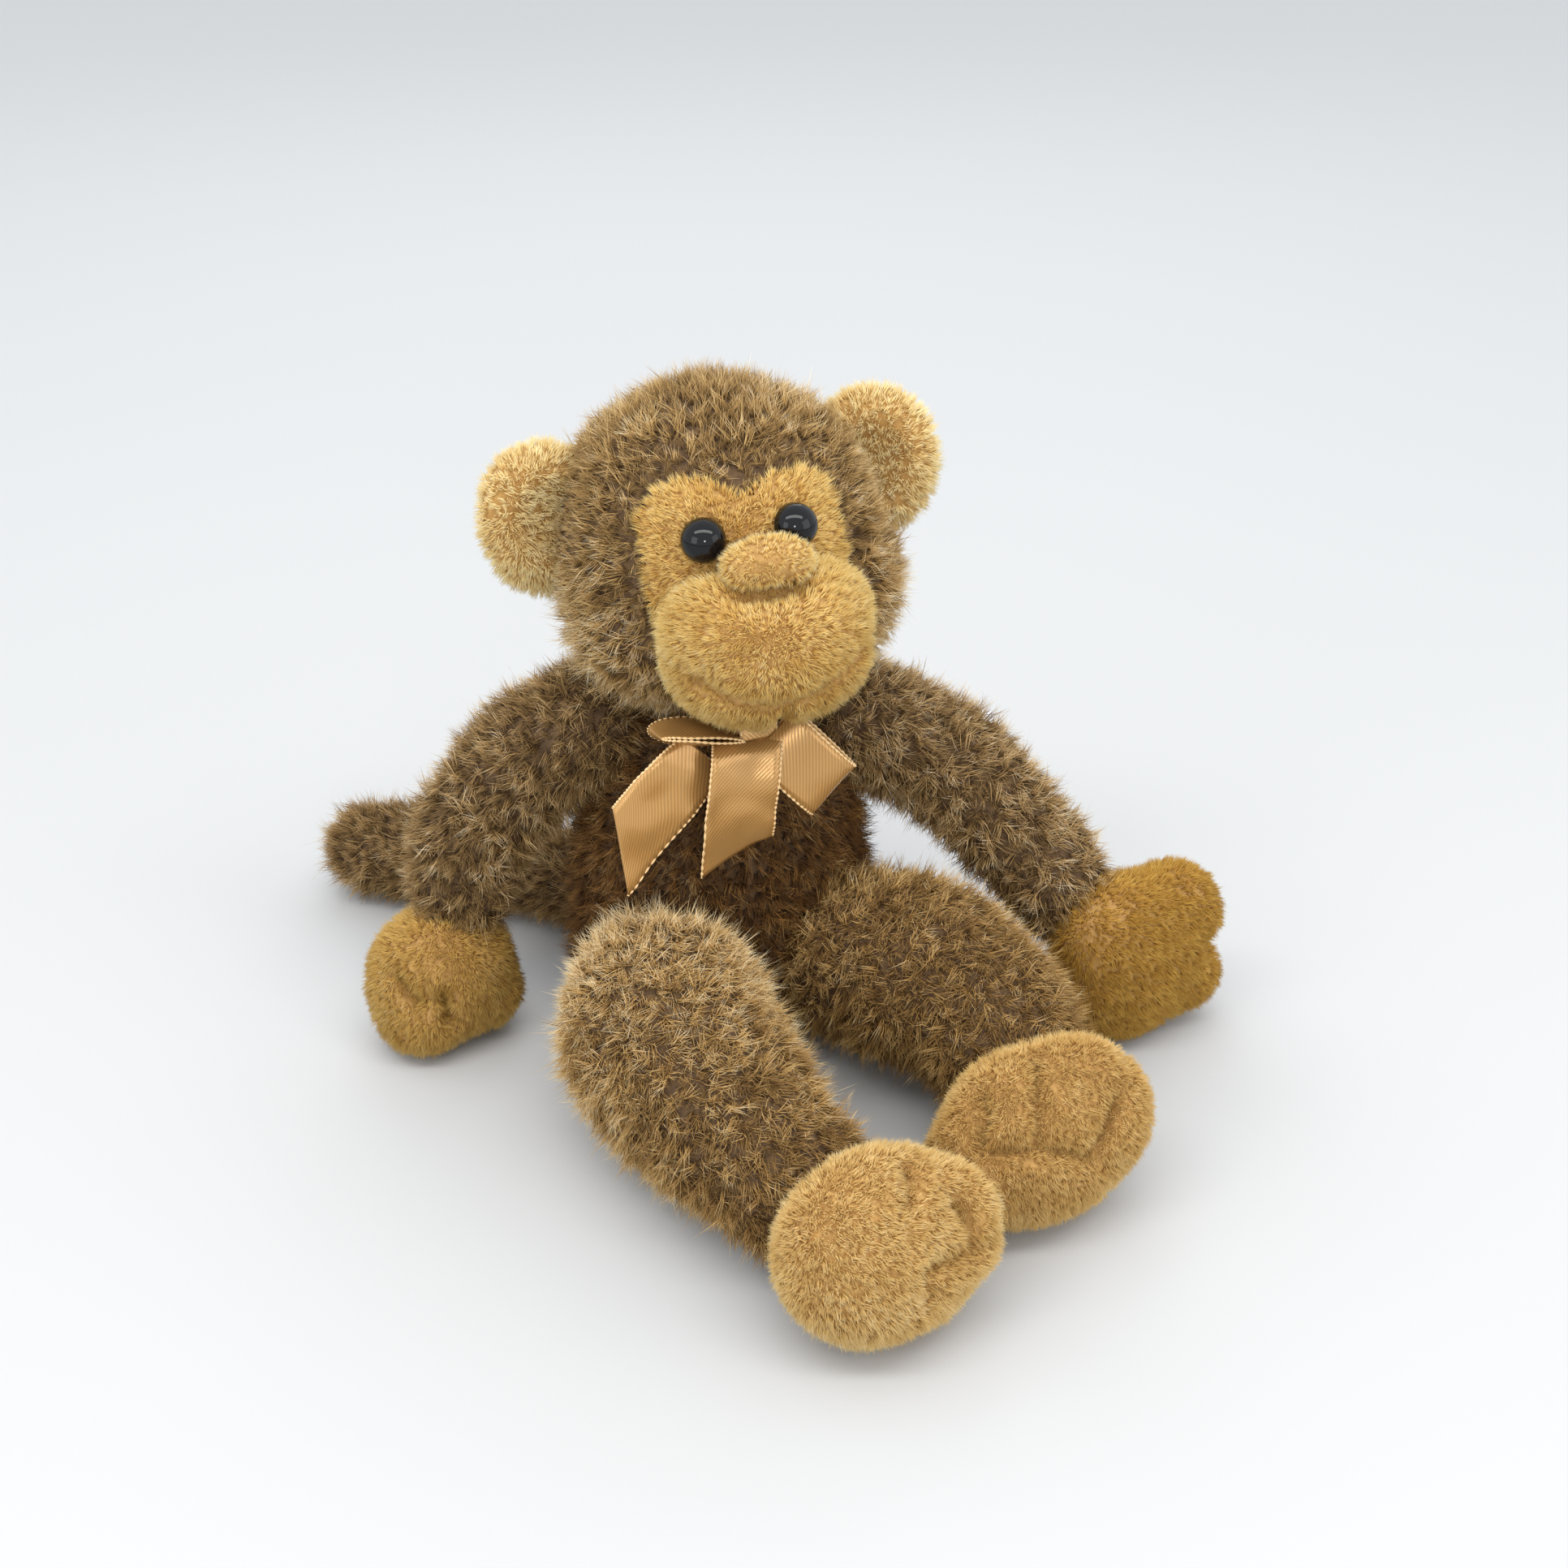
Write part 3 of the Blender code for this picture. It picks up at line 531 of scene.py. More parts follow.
def pile_nodes():
    """Geometry nodes that set tufts on a form: they follow the form's fields."""
    tree = bpy.data.node_groups.new("Pile", "GeometryNodeTree")
    add = tree.interface.new_socket
    add("Geometry", in_out="INPUT", socket_type="NodeSocketGeometry")
    add("Tufts", in_out="INPUT", socket_type="NodeSocketCollection")
    for label in ("Density", "Lean", "Stray", "Mottle", "Light", "Vary"):
        add(label, in_out="INPUT", socket_type="NodeSocketFloat")
    add("Seed", in_out="INPUT", socket_type="NodeSocketInt")
    add("Material", in_out="INPUT", socket_type="NodeSocketMaterial")
    add("Geometry", in_out="OUTPUT", socket_type="NodeSocketGeometry")
    given, out = tree.nodes.new("NodeGroupInput"), tree.nodes.new("NodeGroupOutput")
    seed = given.outputs["Seed"]

    def named(label, kind="FLOAT"):
        return node(tree, "GeometryNodeInputNamedAttribute", {"Name": label}, data_type=kind).outputs[0]

    def maths(operation, first, second):
        return node(tree, "ShaderNodeMath", {0: first, 1: second}, operation=operation).outputs[0]

    def vectors(operation, first, second):
        inputs = {0: first, "Scale" if operation == "SCALE" else 1: second}
        return node(tree, "ShaderNodeVectorMath", inputs, operation=operation).outputs[0]

    def chance(step, low, high, kind="FLOAT"):
        """A random value of its own for each tuft."""
        place = ("FLOAT_VECTOR", "FLOAT", "INT").index(kind)
        inputs = {2 * place: low, 2 * place + 1: high, "Seed": maths("ADD", seed, step) if step else seed}
        return node(tree, "FunctionNodeRandomValue", inputs, data_type=kind).outputs[place]

    density = maths("MULTIPLY", named("pile"), given.outputs["Density"])
    points = node(
        tree, "GeometryNodeDistributePointsOnFaces",
        {"Mesh": given.outputs["Geometry"], "Density": density, "Seed": seed},
    )
    stray = chance(0, (-1.0, -1.0, -1.0), (1.0, 1.0, 1.0), "FLOAT_VECTOR")
    combed = vectors("SCALE", named("comb", "FLOAT_VECTOR"), given.outputs["Lean"])
    way = vectors("ADD", points.outputs["Normal"], combed)
    way = vectors("ADD", way, vectors("SCALE", stray, given.outputs["Stray"]))
    turn = node(tree, "FunctionNodeAlignRotationToVector", {"Vector": way}, axis="Z").outputs[0]
    spin = {"Axis": (0.0, 0.0, 1.0), "Angle": chance(1, 0.0, 2 * pi)}
    spun = node(tree, "FunctionNodeAxisAngleToRotation", spin).outputs[0]
    turn = node(tree, "FunctionNodeRotateRotation", {0: turn, 1: spun}, rotation_space="LOCAL").outputs[0]
    size = maths("MULTIPLY", chance(2, 0.8, 1.15), named("reach"))
    tufts = node(
        tree, "GeometryNodeCollectionInfo",
        {"Collection": given.outputs["Tufts"], "Separate Children": True, "Reset Children": True},
    )
    placed = node(
        tree, "GeometryNodeInstanceOnPoints",
        {
            "Points": points.outputs["Points"], "Instance": tufts.outputs[0], "Pick Instance": True,
            "Instance Index": chance(3, 0, 99, "INT"), "Rotation": turn, "Scale": size,
        },
    ).outputs[0]
    where = node(tree, "GeometryNodeInputPosition").outputs[0]
    patch = {"Vector": where, "Scale": given.outputs["Mottle"], "Detail": 2.0}
    patch = node(tree, "ShaderNodeTexNoise", patch).outputs[0]
    patch = node(tree, "ShaderNodeMapRange", {"Value": patch, "From Min": 0.3, "From Max": 0.7}).outputs[0]
    vary = given.outputs["Vary"]
    centred = maths("SUBTRACT", patch, 0.5)
    patch = maths("ADD", maths("MULTIPLY", centred, maths("MULTIPLY", vary, 2.0)), 0.5)
    tint = maths("ADD", patch, maths("MULTIPLY", chance(4, -1.0, 1.0), vary))
    # The shade field adds the form's painted light and shade to the tint.
    tint = maths("ADD", maths("ADD", tint, given.outputs["Light"]), named("shade"))
    tint = maths("MINIMUM", maths("MAXIMUM", tint, 0.02), 0.98)
    placed = node(
        tree, "GeometryNodeStoreNamedAttribute",
        {"Geometry": placed, "Name": "tint", "Value": tint}, data_type="FLOAT", domain="INSTANCE",
    ).outputs[0]
    solid = node(tree, "GeometryNodeRealizeInstances", {"Geometry": placed}).outputs[0]
    height = node(tree, "ShaderNodeSeparateXYZ", {0: named(BAKE_MAP, "FLOAT_VECTOR")}).outputs["Y"]
    both = node(tree, "ShaderNodeCombineXYZ", {"X": named("tint"), "Y": height}).outputs[0]
    solid = node(
        tree, "GeometryNodeStoreNamedAttribute",
        {"Geometry": solid, "Name": BAKE_MAP, "Value": both}, data_type="FLOAT2", domain="CORNER",
    ).outputs[0]
    split = node(tree, "ShaderNodeSeparateXYZ", {0: where}).outputs
    above = {"X": split["X"], "Y": split["Y"], "Z": maths("MAXIMUM", split["Z"], 0.3 * MM)}
    above = node(tree, "ShaderNodeCombineXYZ", above).outputs[0]
    solid = node(tree, "GeometryNodeSetPosition", {"Geometry": solid, "Position": above}).outputs[0]
    solid = {"Geometry": solid, "Material": given.outputs["Material"]}
    solid = node(tree, "GeometryNodeSetMaterial", solid).outputs[0]
    solid = node(tree, "GeometryNodeSetShadeSmooth", {0: solid}).outputs[0]
    tree.links.new(solid, out.inputs["Geometry"])


def set_pile(name, form, body, slot, material, tufts, density, lean, stray, seed, light=0.0, vary=0.42):
    """A pile of tufts over the form, as a piece of its own that rides with it."""
    tree = bpy.data.node_groups["Pile"]
    made = new_object(name, form.data.copy())
    modifier = made.modifiers.new("Pile", "NODES")
    modifier.node_group = tree
    values = {
        "Tufts": bpy.data.collections[tufts], "Density": density * 1e6, "Lean": lean, "Stray": stray,
        "Mottle": 130.0, "Light": light, "Seed": seed, "Vary": vary, "Material": bpy.data.materials[material],
    }
    for item in tree.interface.items_tree:
        if item.in_out == "INPUT" and item.name in values:
            modifier[item.identifier] = values[item.name]
    apply_modifiers(made)
    for label in (*FIELDS, "tint"):
        if label in made.data.attributes:
            made.data.attributes.remove(made.data.attributes[label])
    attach(made, body)


def long_pile(body, form, look, lean, stray, seed, light=0.0):
    """A dense undercoat and, over it, longer tufts."""
    slot = body + "_skin"
    set_pile(
        body + "_undercoat", form, body, slot, look, "undercoat", UNDERCOAT, lean, stray * 0.7, seed,
        light - 0.12,
    )
    set_pile(body + "_topcoat", form, body, slot, look, "topcoat", TOPCOAT, lean, stray, seed + 11, light)


def short_pile(name, form, body, slot, look, seed, lean=0.75, light=0.0):
    set_pile(name + "_pile", form, body, slot, look, "short_pile", SHORT_PILE, lean, 0.2, seed, light, 0.24)


def fields(form, comb, reach=None, shade=None):
    """Gives a form its fields; comb is a function of places. What lies on the floor is bare."""
    mesh = form.data
    places, normals = places_of(mesh), normals_of(mesh)
    pile = np.ones(len(places))
    pile[(places[:, 2] < BARE_BELOW) & (normals[:, 2] < -0.6)] = 0.0
    ways = comb(places)
    ways -= normals * np.sum(ways * normals, axis=1)[:, None]
    set_field(mesh, "pile", pile)
    set_field(mesh, "reach", np.ones(len(places)) if reach is None else reach)
    set_field(mesh, "shade", np.zeros(len(places)) if shade is None else shade)
    set_field(mesh, "comb", ways)


def copy_of(form, name):
    """A bare copy of a form, without its fields or material."""
    made = new_object(name, form.data.copy())
    made.data.materials.clear()
    for label in FIELDS:
        made.data.attributes.remove(made.data.attributes[label])
    return made


def stuffed(form, body, nodes, material, filling=None):
    """Says what a stuffed form stands for and covers it in its backing cloth; its filling follows it."""
    form.data.materials.append(bpy.data.materials[material])
    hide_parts(*nodes)
    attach(form, body)
    if filling:
        inner = copy_of(form, filling + "_fill")
        inner.data.materials.append(bpy.data.materials["pellets" if "beans" in filling else "filling"])
        move_to(inner.data, places_of(form.data) - normals_of(form.data) * FILLING_DEPTH)
        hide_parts(filling)
        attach(inner, body)


# ---- pieces ----


def make_materials():
    pile_colour_group()
    for name, colours in {**BROWNS, **TANS}.items():
        pile_material("pile_" + name, *colours)
    cloth_material("filling", (0.86, 0.84, 0.80), (0.74, 0.72, 0.68), 160.0)
    cloth_material("pellets", (0.78, 0.77, 0.72), (0.5, 0.49, 0.45), 330.0, 0.5)
    cloth_material("thread", (0.30, 0.19, 0.10), (0.2, 0.12, 0.06), 1500.0)
    cloth_material("washer", (0.80, 0.80, 0.78), (0.72, 0.72, 0.70), 90.0, 0.45)
    cloth_material("backing_brown", (0.12, 0.068, 0.028), (0.07, 0.038, 0.016))
    cloth_material("backing_tan", (0.46, 0.27, 0.085), (0.36, 0.20, 0.06))


def make_tufts():
    plush = bpy.context.scene.plush
    for name, (seed, kinds, make, count, spread, lean, gather, length, high, thick) in TUFTS.items():
        long = getattr(plush, length) * high
        tuft_collection(name, seed, kinds, make, count, spread, lean, gather, long, plush.thickness * thick)
    pile_nodes()


def limb_form(name, spine, radii):
    places, sizes = along(spine, 6), along([(r,) for r in radii], 6)[:, 0] * MM
    return grown(name, [round_ball(p, s) for p, s in zip(places, sizes)]), places


def comb_along(line):
    """Lays the pile from the line's start towards its end."""
    steps = np.diff(line, axis=0)
    steps /= np.linalg.norm(steps, axis=1)[:, None]
    middles = (line[1:] + line[:-1]) / 2

    def comb(places):
        nearest = np.argmin(np.linalg.norm(places[:, None] - middles[None], axis=2), axis=1)
        return steps[nearest].copy()

    return comb


def head_local(places):
    return (places - np.array(HEAD)) @ np.array(HEAD_TURN)


def on_head(local):
    return HEAD + HEAD_TURN @ Vector(local)


MASK_EDGE = np.array([
    (-1, 22), (8, 25.5), (17, 24.5), (22.5, 17.5), (23.5, 6), (24, -8), (20, -22), (10, -29),
    (0, -31), (-10, -29), (-20, -22), (-25, -8), (-26, 6), (-26, 19), (-20, 26), (-10, 27),
]) * MM


def mask_gap(places):
    """How far each place is outside the edge of the face patch; negative inside it."""
    local = head_local(places)
    flat = local[:, [0, 2]]
    gap = np.full(len(flat), 1e9)
    inside = np.zeros(len(flat), bool)
    for a, b in zip(MASK_EDGE, np.roll(MASK_EDGE, -1, axis=0)):
        edge = b - a
        share = np.clip(((flat - a) @ edge) / (edge @ edge), 0, 1)
        gap = np.minimum(gap, np.linalg.norm(flat - a - share[:, None] * edge, axis=1))
        crosses = (a[1] > flat[:, 1]) != (b[1] > flat[:, 1])
        at = a[0] + (flat[:, 1] - a[1]) * edge[0] / (edge[1] if abs(edge[1]) > 1e-9 else 1e-9)
        inside ^= crosses & (flat[:, 0] < at)
    gap = np.where(inside, -gap, gap)
    return np.where(local[:, 1] < 0, gap, 1.0)


def make_torso():
    heights = np.array([h for h, _ in TORSO_SIDE], float)
    halves = np.array([r for _, r in TORSO_SIDE], float)
    bm = bmesh.new()
    ring = bmesh.ops.create_circle(bm, cap_ends=True, segments=48, radius=1.0)["verts"]
    edges = list({e for v in ring for e in v.link_edges if len(e.link_faces) == 1})
    rows = along(list(zip(heights, halves)), 3)
    bmesh.ops.scale(bm, vec=(rows[0][1],) * 2 + (1,), verts=ring)
    for (low, before), (high, after) in zip(rows, rows[1:]):
        pushed = bmesh.ops.extrude_edge_only(bm, edges=edges)["geom"]
        verts = [v for v in pushed if isinstance(v, bmesh.types.BMVert)]
        edges = [e for e in pushed if isinstance(e, bmesh.types.BMEdge)]
        bmesh.ops.translate(bm, vec=(0, 0, high - low), verts=verts)
        bmesh.ops.scale(bm, vec=(after / before,) * 2 + (1,), verts=verts)
    bmesh.ops.contextual_create(bm, geom=edges)
    place = Matrix.Translation(mm(TORSO_X, 0, 0)) @ Matrix.Diagonal((MM, TORSO_DEPTH * MM, MM, 1))
    bmesh.ops.transform(bm, matrix=place, verts=bm.verts)
    form = mesh_object("torso_plush", bm)
    even_out(form, VOXEL, 5)
    form.data.shade_smooth()
    lumps(form, 1.6 * MM, 22 * MM, 1)
    fields(form, lambda places: np.tile((0.0, 0.0, -1.0), (len(places), 1)))
    stuffed(form, "torso", ["torso_skin"], "backing_brown")
    long_pile("torso", form, "pile_torso", lean=0.6, stray=0.65, seed=20)


def make_limbs():
    for side, sign in SIDES:
        arm, leg = side + "_arm", side + "_leg"
        way, radii = ARM_WAY[side]
        spine = [JOINTS[arm + "_lift"], *[mm(*p) for p in way], JOINTS[side + "_wrist_bend"]]
        form, line = limb_form(arm + "_plush", spine, radii)
        lumps(form, 1.8 * MM, 18 * MM, 3 + sign)
        fields(form, comb_along(line))
        stuffed(form, arm, [arm + "_skin"], "backing_brown", arm + "_stuffing")
        # Painted light: the left arm's pile is painted lighter than the right arm's.
        long_pile(arm, form, "pile_arm", lean=0.5, stray=0.7, seed=30 + sign, light=0.05 + 0.08 * sign)
        way, radii = LEG_WAY[side]
        spine = [JOINTS[side + "_hip_lift"], *[mm(*p) for p in way], JOINTS[side + "_ankle_bend"]]
        form, line = limb_form(leg + "_plush", spine, radii)
        lumps(form, 1.8 * MM, 22 * MM, 6 + sign)
        # Painted light and shade: the right leg's pile is painted lighter, most at the thigh as a painted
        # sheen, and each leg darker towards the ankle.
        down = np.linalg.norm(places_of(form.data) - np.array(spine[0]), axis=1) / (90 * MM)
        thigh_light, ankle_shade = 0.42 - 0.43 * sign, 0.55 - 0.4 * sign
        fields(form, comb_along(line), shade=thigh_light - ankle_shade * np.clip(down, 0, 1))
        stuffed(form, leg, [leg + "_skin"], "backing_brown", leg + "_stuffing")
        long_pile(leg, form, "pile_leg", lean=1.3, stray=0.35, seed=40 + sign)


def make_tail():
    way, radii = TAIL_WAY
    form, line = limb_form("tail_plush", [JOINTS["tail_swing"], *[mm(*p) for p in way]], radii)
    lumps(form, 1.2 * MM, 18 * MM, 9)
    fields(form, comb_along(line))
    stuffed(form, "tail", ["tail_skin"], "backing_brown")
    long_pile("tail", form, "pile_tail", lean=0.9, stray=0.6, seed=50)


def end_form(name, centre, size, turn):
    """A stuffed hand or foot drawn in along its stitched creases, with the reach and shade of its pile."""
    centre, size = mm(*centre), mm(*size)
    turn = Euler((0, 0, radians(turn))).to_matrix()
    balls = [(centre, size * 0.97, turn)]
    balls += [(centre + turn @ mm(*place), mm(*lobe), turn) for place, lobe in LOBES[name]]
    form = grown(name + "_plush", balls, MIDDLE_VOXEL, 6)
    lumps(form, 1.3 * MM, 15 * MM, len(name))
    paths = [
        [centre + turn @ Vector([s * n for s, n in zip(share, size)]) for share in line]
        for line in CREASES[name]
    ]
    near = crease(form, paths, 5.0 * MM, 2.8 * MM)
    # The pile is painted darker along the creases: painted shade.
    return form, np.clip(0.6 + near / (7 * MM), 0.6, 1.0), -0.9 * np.exp(-((near / (2.0 * MM)) ** 2))


def make_ends():
    for side, sign in SIDES:
        for kind, table, joint, digit in (
            ("hand", HANDS, "_wrist_bend", "finger"), ("foot", FEET, "_ankle_bend", "toe"),
        ):
            name = f"{side}_{kind}"
            form, reach, shade = end_form(name, *table[side])
            centre = np.array(mm(*table[side][0]))
            away = centre - np.array(JOINTS[side + joint])
            away /= np.linalg.norm(away)
            fields(form, lambda places: np.tile(away, (len(places), 1)), reach=reach, shade=shade)
            threads = [f"{side}_{digit}_thread_{number}" for number in (1, 2)]
            stuffed(form, name, [name + "_skin", *threads], "backing_tan", name + "_beans")
            # Painted light and shade: the left hand takes a darker, more saturated copy of the hand colours,
            # and the right hand and foot are painted lighter than the left ones.
            look = "pile_" + (name if name in TANS else kind)
            short_pile(name, form, name, name + "_skin", look, seed=60 + sign, light=-0.12 * sign)


def make_head():
    balls = [(HEAD + mm(-2.2, 0, 0.8), HEAD_SIZE * 0.985, HEAD_TURN)]
    for _, sign in SIDES:
        balls.append((on_head(mm(sign * 18, -6, -13)), mm(25, 27, 25), HEAD_TURN))
    form = grown("head_plush", balls, VOXEL, 8)
    lumps(form, 1.2 * MM, 20 * MM, 12)
    surface = places_of(form.data)
    gap = mask_gap(surface)
    reach = np.clip(0.5 + gap / (16 * MM), 0.5, 1.0)
    for side, _ in SIDES:
        far = np.linalg.norm(surface - np.array(on_head(EARS[side] + mm(0, -6, 0))), axis=1)
        reach *= np.clip(far / (22 * MM), 0.45, 1.0)

    def comb(places):
        local = head_local(places)
        away = local - np.array(mm(0, -42, 2))
        away[:, 1] += np.abs(local[:, 1]) * 0.4
        away /= np.linalg.norm(away, axis=1)[:, None]
        return away @ np.array(HEAD_TURN).T

    # Painted light and shade: the lower head's pile is painted lighter and the crown's darker.
    rise = (surface[:, 2] - 130 * MM) / (60 * MM)
    fields(form, comb, reach=reach, shade=0.2 - 0.35 * np.clip(rise, 0, 1))
    pile = np.where(gap > 0.5 * MM, 1.0, 0.0)
    pile[np.linalg.norm(surface - np.array(JOINTS["neck_nod"]), axis=1) < 20 * MM] = 0.0
    form.data.attributes["pile"].data.foreach_set("value", pile.astype(np.float32))
    stuffed(form, "head", ["head_skin"], "backing_brown", "head_stuffing")
    long_pile("head", form, "pile_head", lean=0.35, stray=0.6, seed=70, light=0.05)


def make_face():
    form = copy_of(bpy.data.objects["head_plush"], "face_mask_plush")
    bm = bmesh.new()
    bm.from_mesh(form.data)
    gap = mask_gap(np.array([v.co for v in bm.verts]))
    gone = [f for f in bm.faces if sum(gap[v.index] for v in f.verts) / len(f.verts) > 0]
    bmesh.ops.delete(bm, geom=gone, context="FACES")
    bm.to_mesh(form.data)
    bm.free()
    places, normals = places_of(form.data), normals_of(form.data)
    local = head_local(places)
    across, above = (np.abs(local[:, 0]) - 14 * MM) / (9 * MM), (local[:, 2] - 23 * MM) / (6 * MM)
    brow = np.exp(-(across**2) - above**2)
    move_to(form.data, places + normals * ((0.5 + 1.6 * brow) * MM)[:, None])
    solid = form.modifiers.new("Cloth", "SOLIDIFY")
    solid.thickness = 1.0 * MM
    solid.offset = 1.0
    apply_modifiers(form)

    def outward(places):
        away = head_local(places) - np.array(mm(0, -40, 6))
        return away @ np.array(HEAD_TURN).T / (20 * MM)

    fields(form, outward)
    stuffed(form, "head", ["face_mask"], "backing_tan")
    short_pile("face_mask", form, "head", "face_mask", "pile_face", seed=80, lean=0.6)

    form = grown("muzzle_plush", [
        (on_head(MUZZLE), mm(26.5, 19.5, 20.5), HEAD_TURN),
        (on_head(MUZZLE + mm(-11, -1, 6)), mm(15.5, 16, 13.5), HEAD_TURN),
        (on_head(MUZZLE + mm(11, -1, 6)), mm(15.5, 16, 13.5), HEAD_TURN),
    ], MIDDLE_VOXEL, 5)
    lumps(form, 0.8 * MM, 14 * MM, 14)
    creases = [[]]
    for step in np.linspace(-1, 1, 9):
        side, up = 21 * MM * step, (-9.5 + 8.0 * step**2) * MM
        share = 1 - (side / MUZZLE_SIZE.x) ** 2 - (up / MUZZLE_SIZE.z) ** 2
        creases[0].append(on_head(MUZZLE + Vector((side, -MUZZLE_SIZE.y * max(share, 0) ** 0.5, up))))
    creases.append([on_head(MUZZLE + mm(0, y, z)) for y, z in ((-14, -14), (-9, -18), (-2, -20))])
    creases.append([on_head(NOSE + mm(side, -3, -7.5 + side**2 * 0.02)) for side in (-9, -4.5, 0, 4.5, 9)])
    near = crease(form, creases, 3.2 * MM, 2.5 * MM)

    def spread(places):
        local = head_local(places) - np.array(MUZZLE) - np.array(mm(0, -20, 7))
        local[:, 1] = 0.0
        return local @ np.array(HEAD_TURN).T / (14 * MM)

    # Painted shade: the pile is painted darker along the smile, chin and nose creases, and a little lighter
    # elsewhere.
    fields(
        form, spread, reach=np.clip(0.45 + near / (7 * MM), 0.5, 1.0),
        shade=0.1 - 0.8 * np.exp(-((near / (2.4 * MM)) ** 2)),
    )
    threads = ["mouth_thread", "nose_thread"]
    stuffed(form, "head", ["muzzle_skin", *threads], "backing_tan", "muzzle_stuffing")
    short_pile("muzzle", form, "head", "muzzle_skin", "pile_face", seed=84, lean=0.8)

    form = grown("nose_plush", [
        (on_head(NOSE + mm(0.8, 1.0, 0.0)), mm(10.4, 7.6, 5.2), HEAD_TURN),
        (on_head(NOSE + mm(-4.2, 1.6, -0.8)), mm(6.2, 6.4, 4.8), HEAD_TURN),
        (on_head(NOSE + mm(5.8, 1.2, -0.9)), mm(6.0, 6.6, 5.2), HEAD_TURN),
    ], 1.1 * MM, 4)
    reach = np.full(len(form.data.vertices), 0.7)
    fields(form, lambda places: (places - np.array(on_head(NOSE))) / (8 * MM), reach=reach)
    stuffed(form, "head", ["nose_pad"], "backing_tan")
    short_pile("nose", form, "head", "nose_pad", "pile_face", seed=88, lean=0.45, light=0.4)


def make_ears():
    for side, sign in SIDES:
        lean = Matrix.Rotation(radians(sign * 12), 3, "Y") @ Matrix.Rotation(radians(sign * -18), 3, "Z")
        turn = HEAD_TURN @ lean
        middle = on_head(EARS[side])
        dish = [(middle + turn @ mm(0, -17.5, 0), mm(19, 14.5, 21), turn)]
        shell = (middle + HEAD_TURN @ mm(0, -1.5, 0), mm(17.5, 6.3, 20.5), turn)
        form = grown(f"{side}_ear_plush", [shell], FINE_VOXEL, 3, hollows=dish)
        even_out(form, FINE_VOXEL, 4)
        form.data.shade_smooth()
        fields(form, lambda places: (places - np.array(middle)) / (16 * MM))
        nodes = [f"ear_{side}_front", f"ear_{side}_back"]
        stuffed(form, "head", nodes, "backing_tan")
        short_pile(f"{side}_ear", form, "head", nodes[0], "pile_ear", seed=90 + sign, lean=0.6)


def eye_place(sign):
    local = mm(sign * 10.9 - 0.9, 0, 14.7)
    share = 1 - (local.x / HEAD_SIZE.x) ** 2 - (local.z / HEAD_SIZE.z) ** 2
    local.y = -HEAD_SIZE.y * share**0.5
    out = Vector([local[i] / HEAD_SIZE[i] ** 2 for i in range(3)]).normalized()
    turn = Vector((0, 0, 1)).rotation_difference(HEAD_TURN @ out)
    return Matrix.Translation(on_head(local)) @ turn.to_matrix().to_4x4()


def make_eyes():
    gloss = principled("eye_gloss", (0.004, 0.004, 0.005), 0.04, Specular_IOR_Level=0.3)[0]
    outline = [
        (EYE_RADIUS * cos(radians(a)), EYE_SEAT + EYE_RADIUS * EYE_DOME * sin(radians(a)))
        for a in range(90, -1, -6)
    ] + [
        (EYE_RADIUS * 1.02, EYE_SEAT - 0.35), (EYE_RADIUS * 0.97, EYE_SEAT - 0.8),
        (EYE_STEM, EYE_SEAT - 0.9), (EYE_STEM, EYE_STEM_END), (0.0, EYE_STEM_END),
    ]
    for side, sign in SIDES:
        bm = bmesh.new()
        rim = [bm.verts.new((r, 0, h)) for r, h in outline]
        edges = [bm.edges.new(pair) for pair in zip(rim, rim[1:])]
        bmesh.ops.spin(
            bm, geom=rim + edges, cent=(0, 0, 0), axis=(0, 0, 1), angle=2 * pi, steps=40, use_merge=True
        )
        bmesh.ops.remove_doubles(bm, verts=bm.verts, dist=0.001)
        bmesh.ops.recalc_face_normals(bm, faces=bm.faces)
        bmesh.ops.scale(bm, vec=(MM,) * 3, verts=bm.verts)
        bmesh.ops.transform(bm, matrix=eye_place(sign), verts=bm.verts)
        eye = mesh_object(f"{side}_eye", bm)
        eye.data.shade_smooth()
        eye.data.materials.append(gloss)
        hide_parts("eye_" + side)
        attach(eye, "head")


def satin_material(name, colour, edge):
    """Satin with a fine slanting weave. The map named Weave is in millimetres: across, then along."""
    _, tree, shader = principled(name, colour, 0.27, Metallic=0.4, Specular_IOR_Level=0.6)
    weave = node(tree, "ShaderNodeUVMap", uv_map="Weave").outputs["UV"]
    ribs = node(
        tree, "ShaderNodeTexWave", {"Vector": weave, "Scale": 0.5, "Distortion": 0.35},
        wave_type="BANDS", bands_direction="DIAGONAL",
    ).outputs["Fac"]
    low, high = [c * 0.80 for c in colour], [min(c * 1.15, 1.0) for c in colour]
    patterned(tree, shader, ribs, ((0.0, low), (1.0, high)), 0.35, 0.08 * MM)
    principled("satin_edge", edge, 0.5)


def rows_of(path, across, steps):
    """A smooth run of places, the way across at each, and how far along each is."""
    places = along([Vector(p) for p in path], steps)
    ways = along([Vector(a) for a in across], steps)
    ways /= np.linalg.norm(ways, axis=1)[:, None]
    far = np.concatenate([[0.0], np.cumsum(np.linalg.norm(np.diff(places, axis=0), axis=1))])
    return places, ways, far


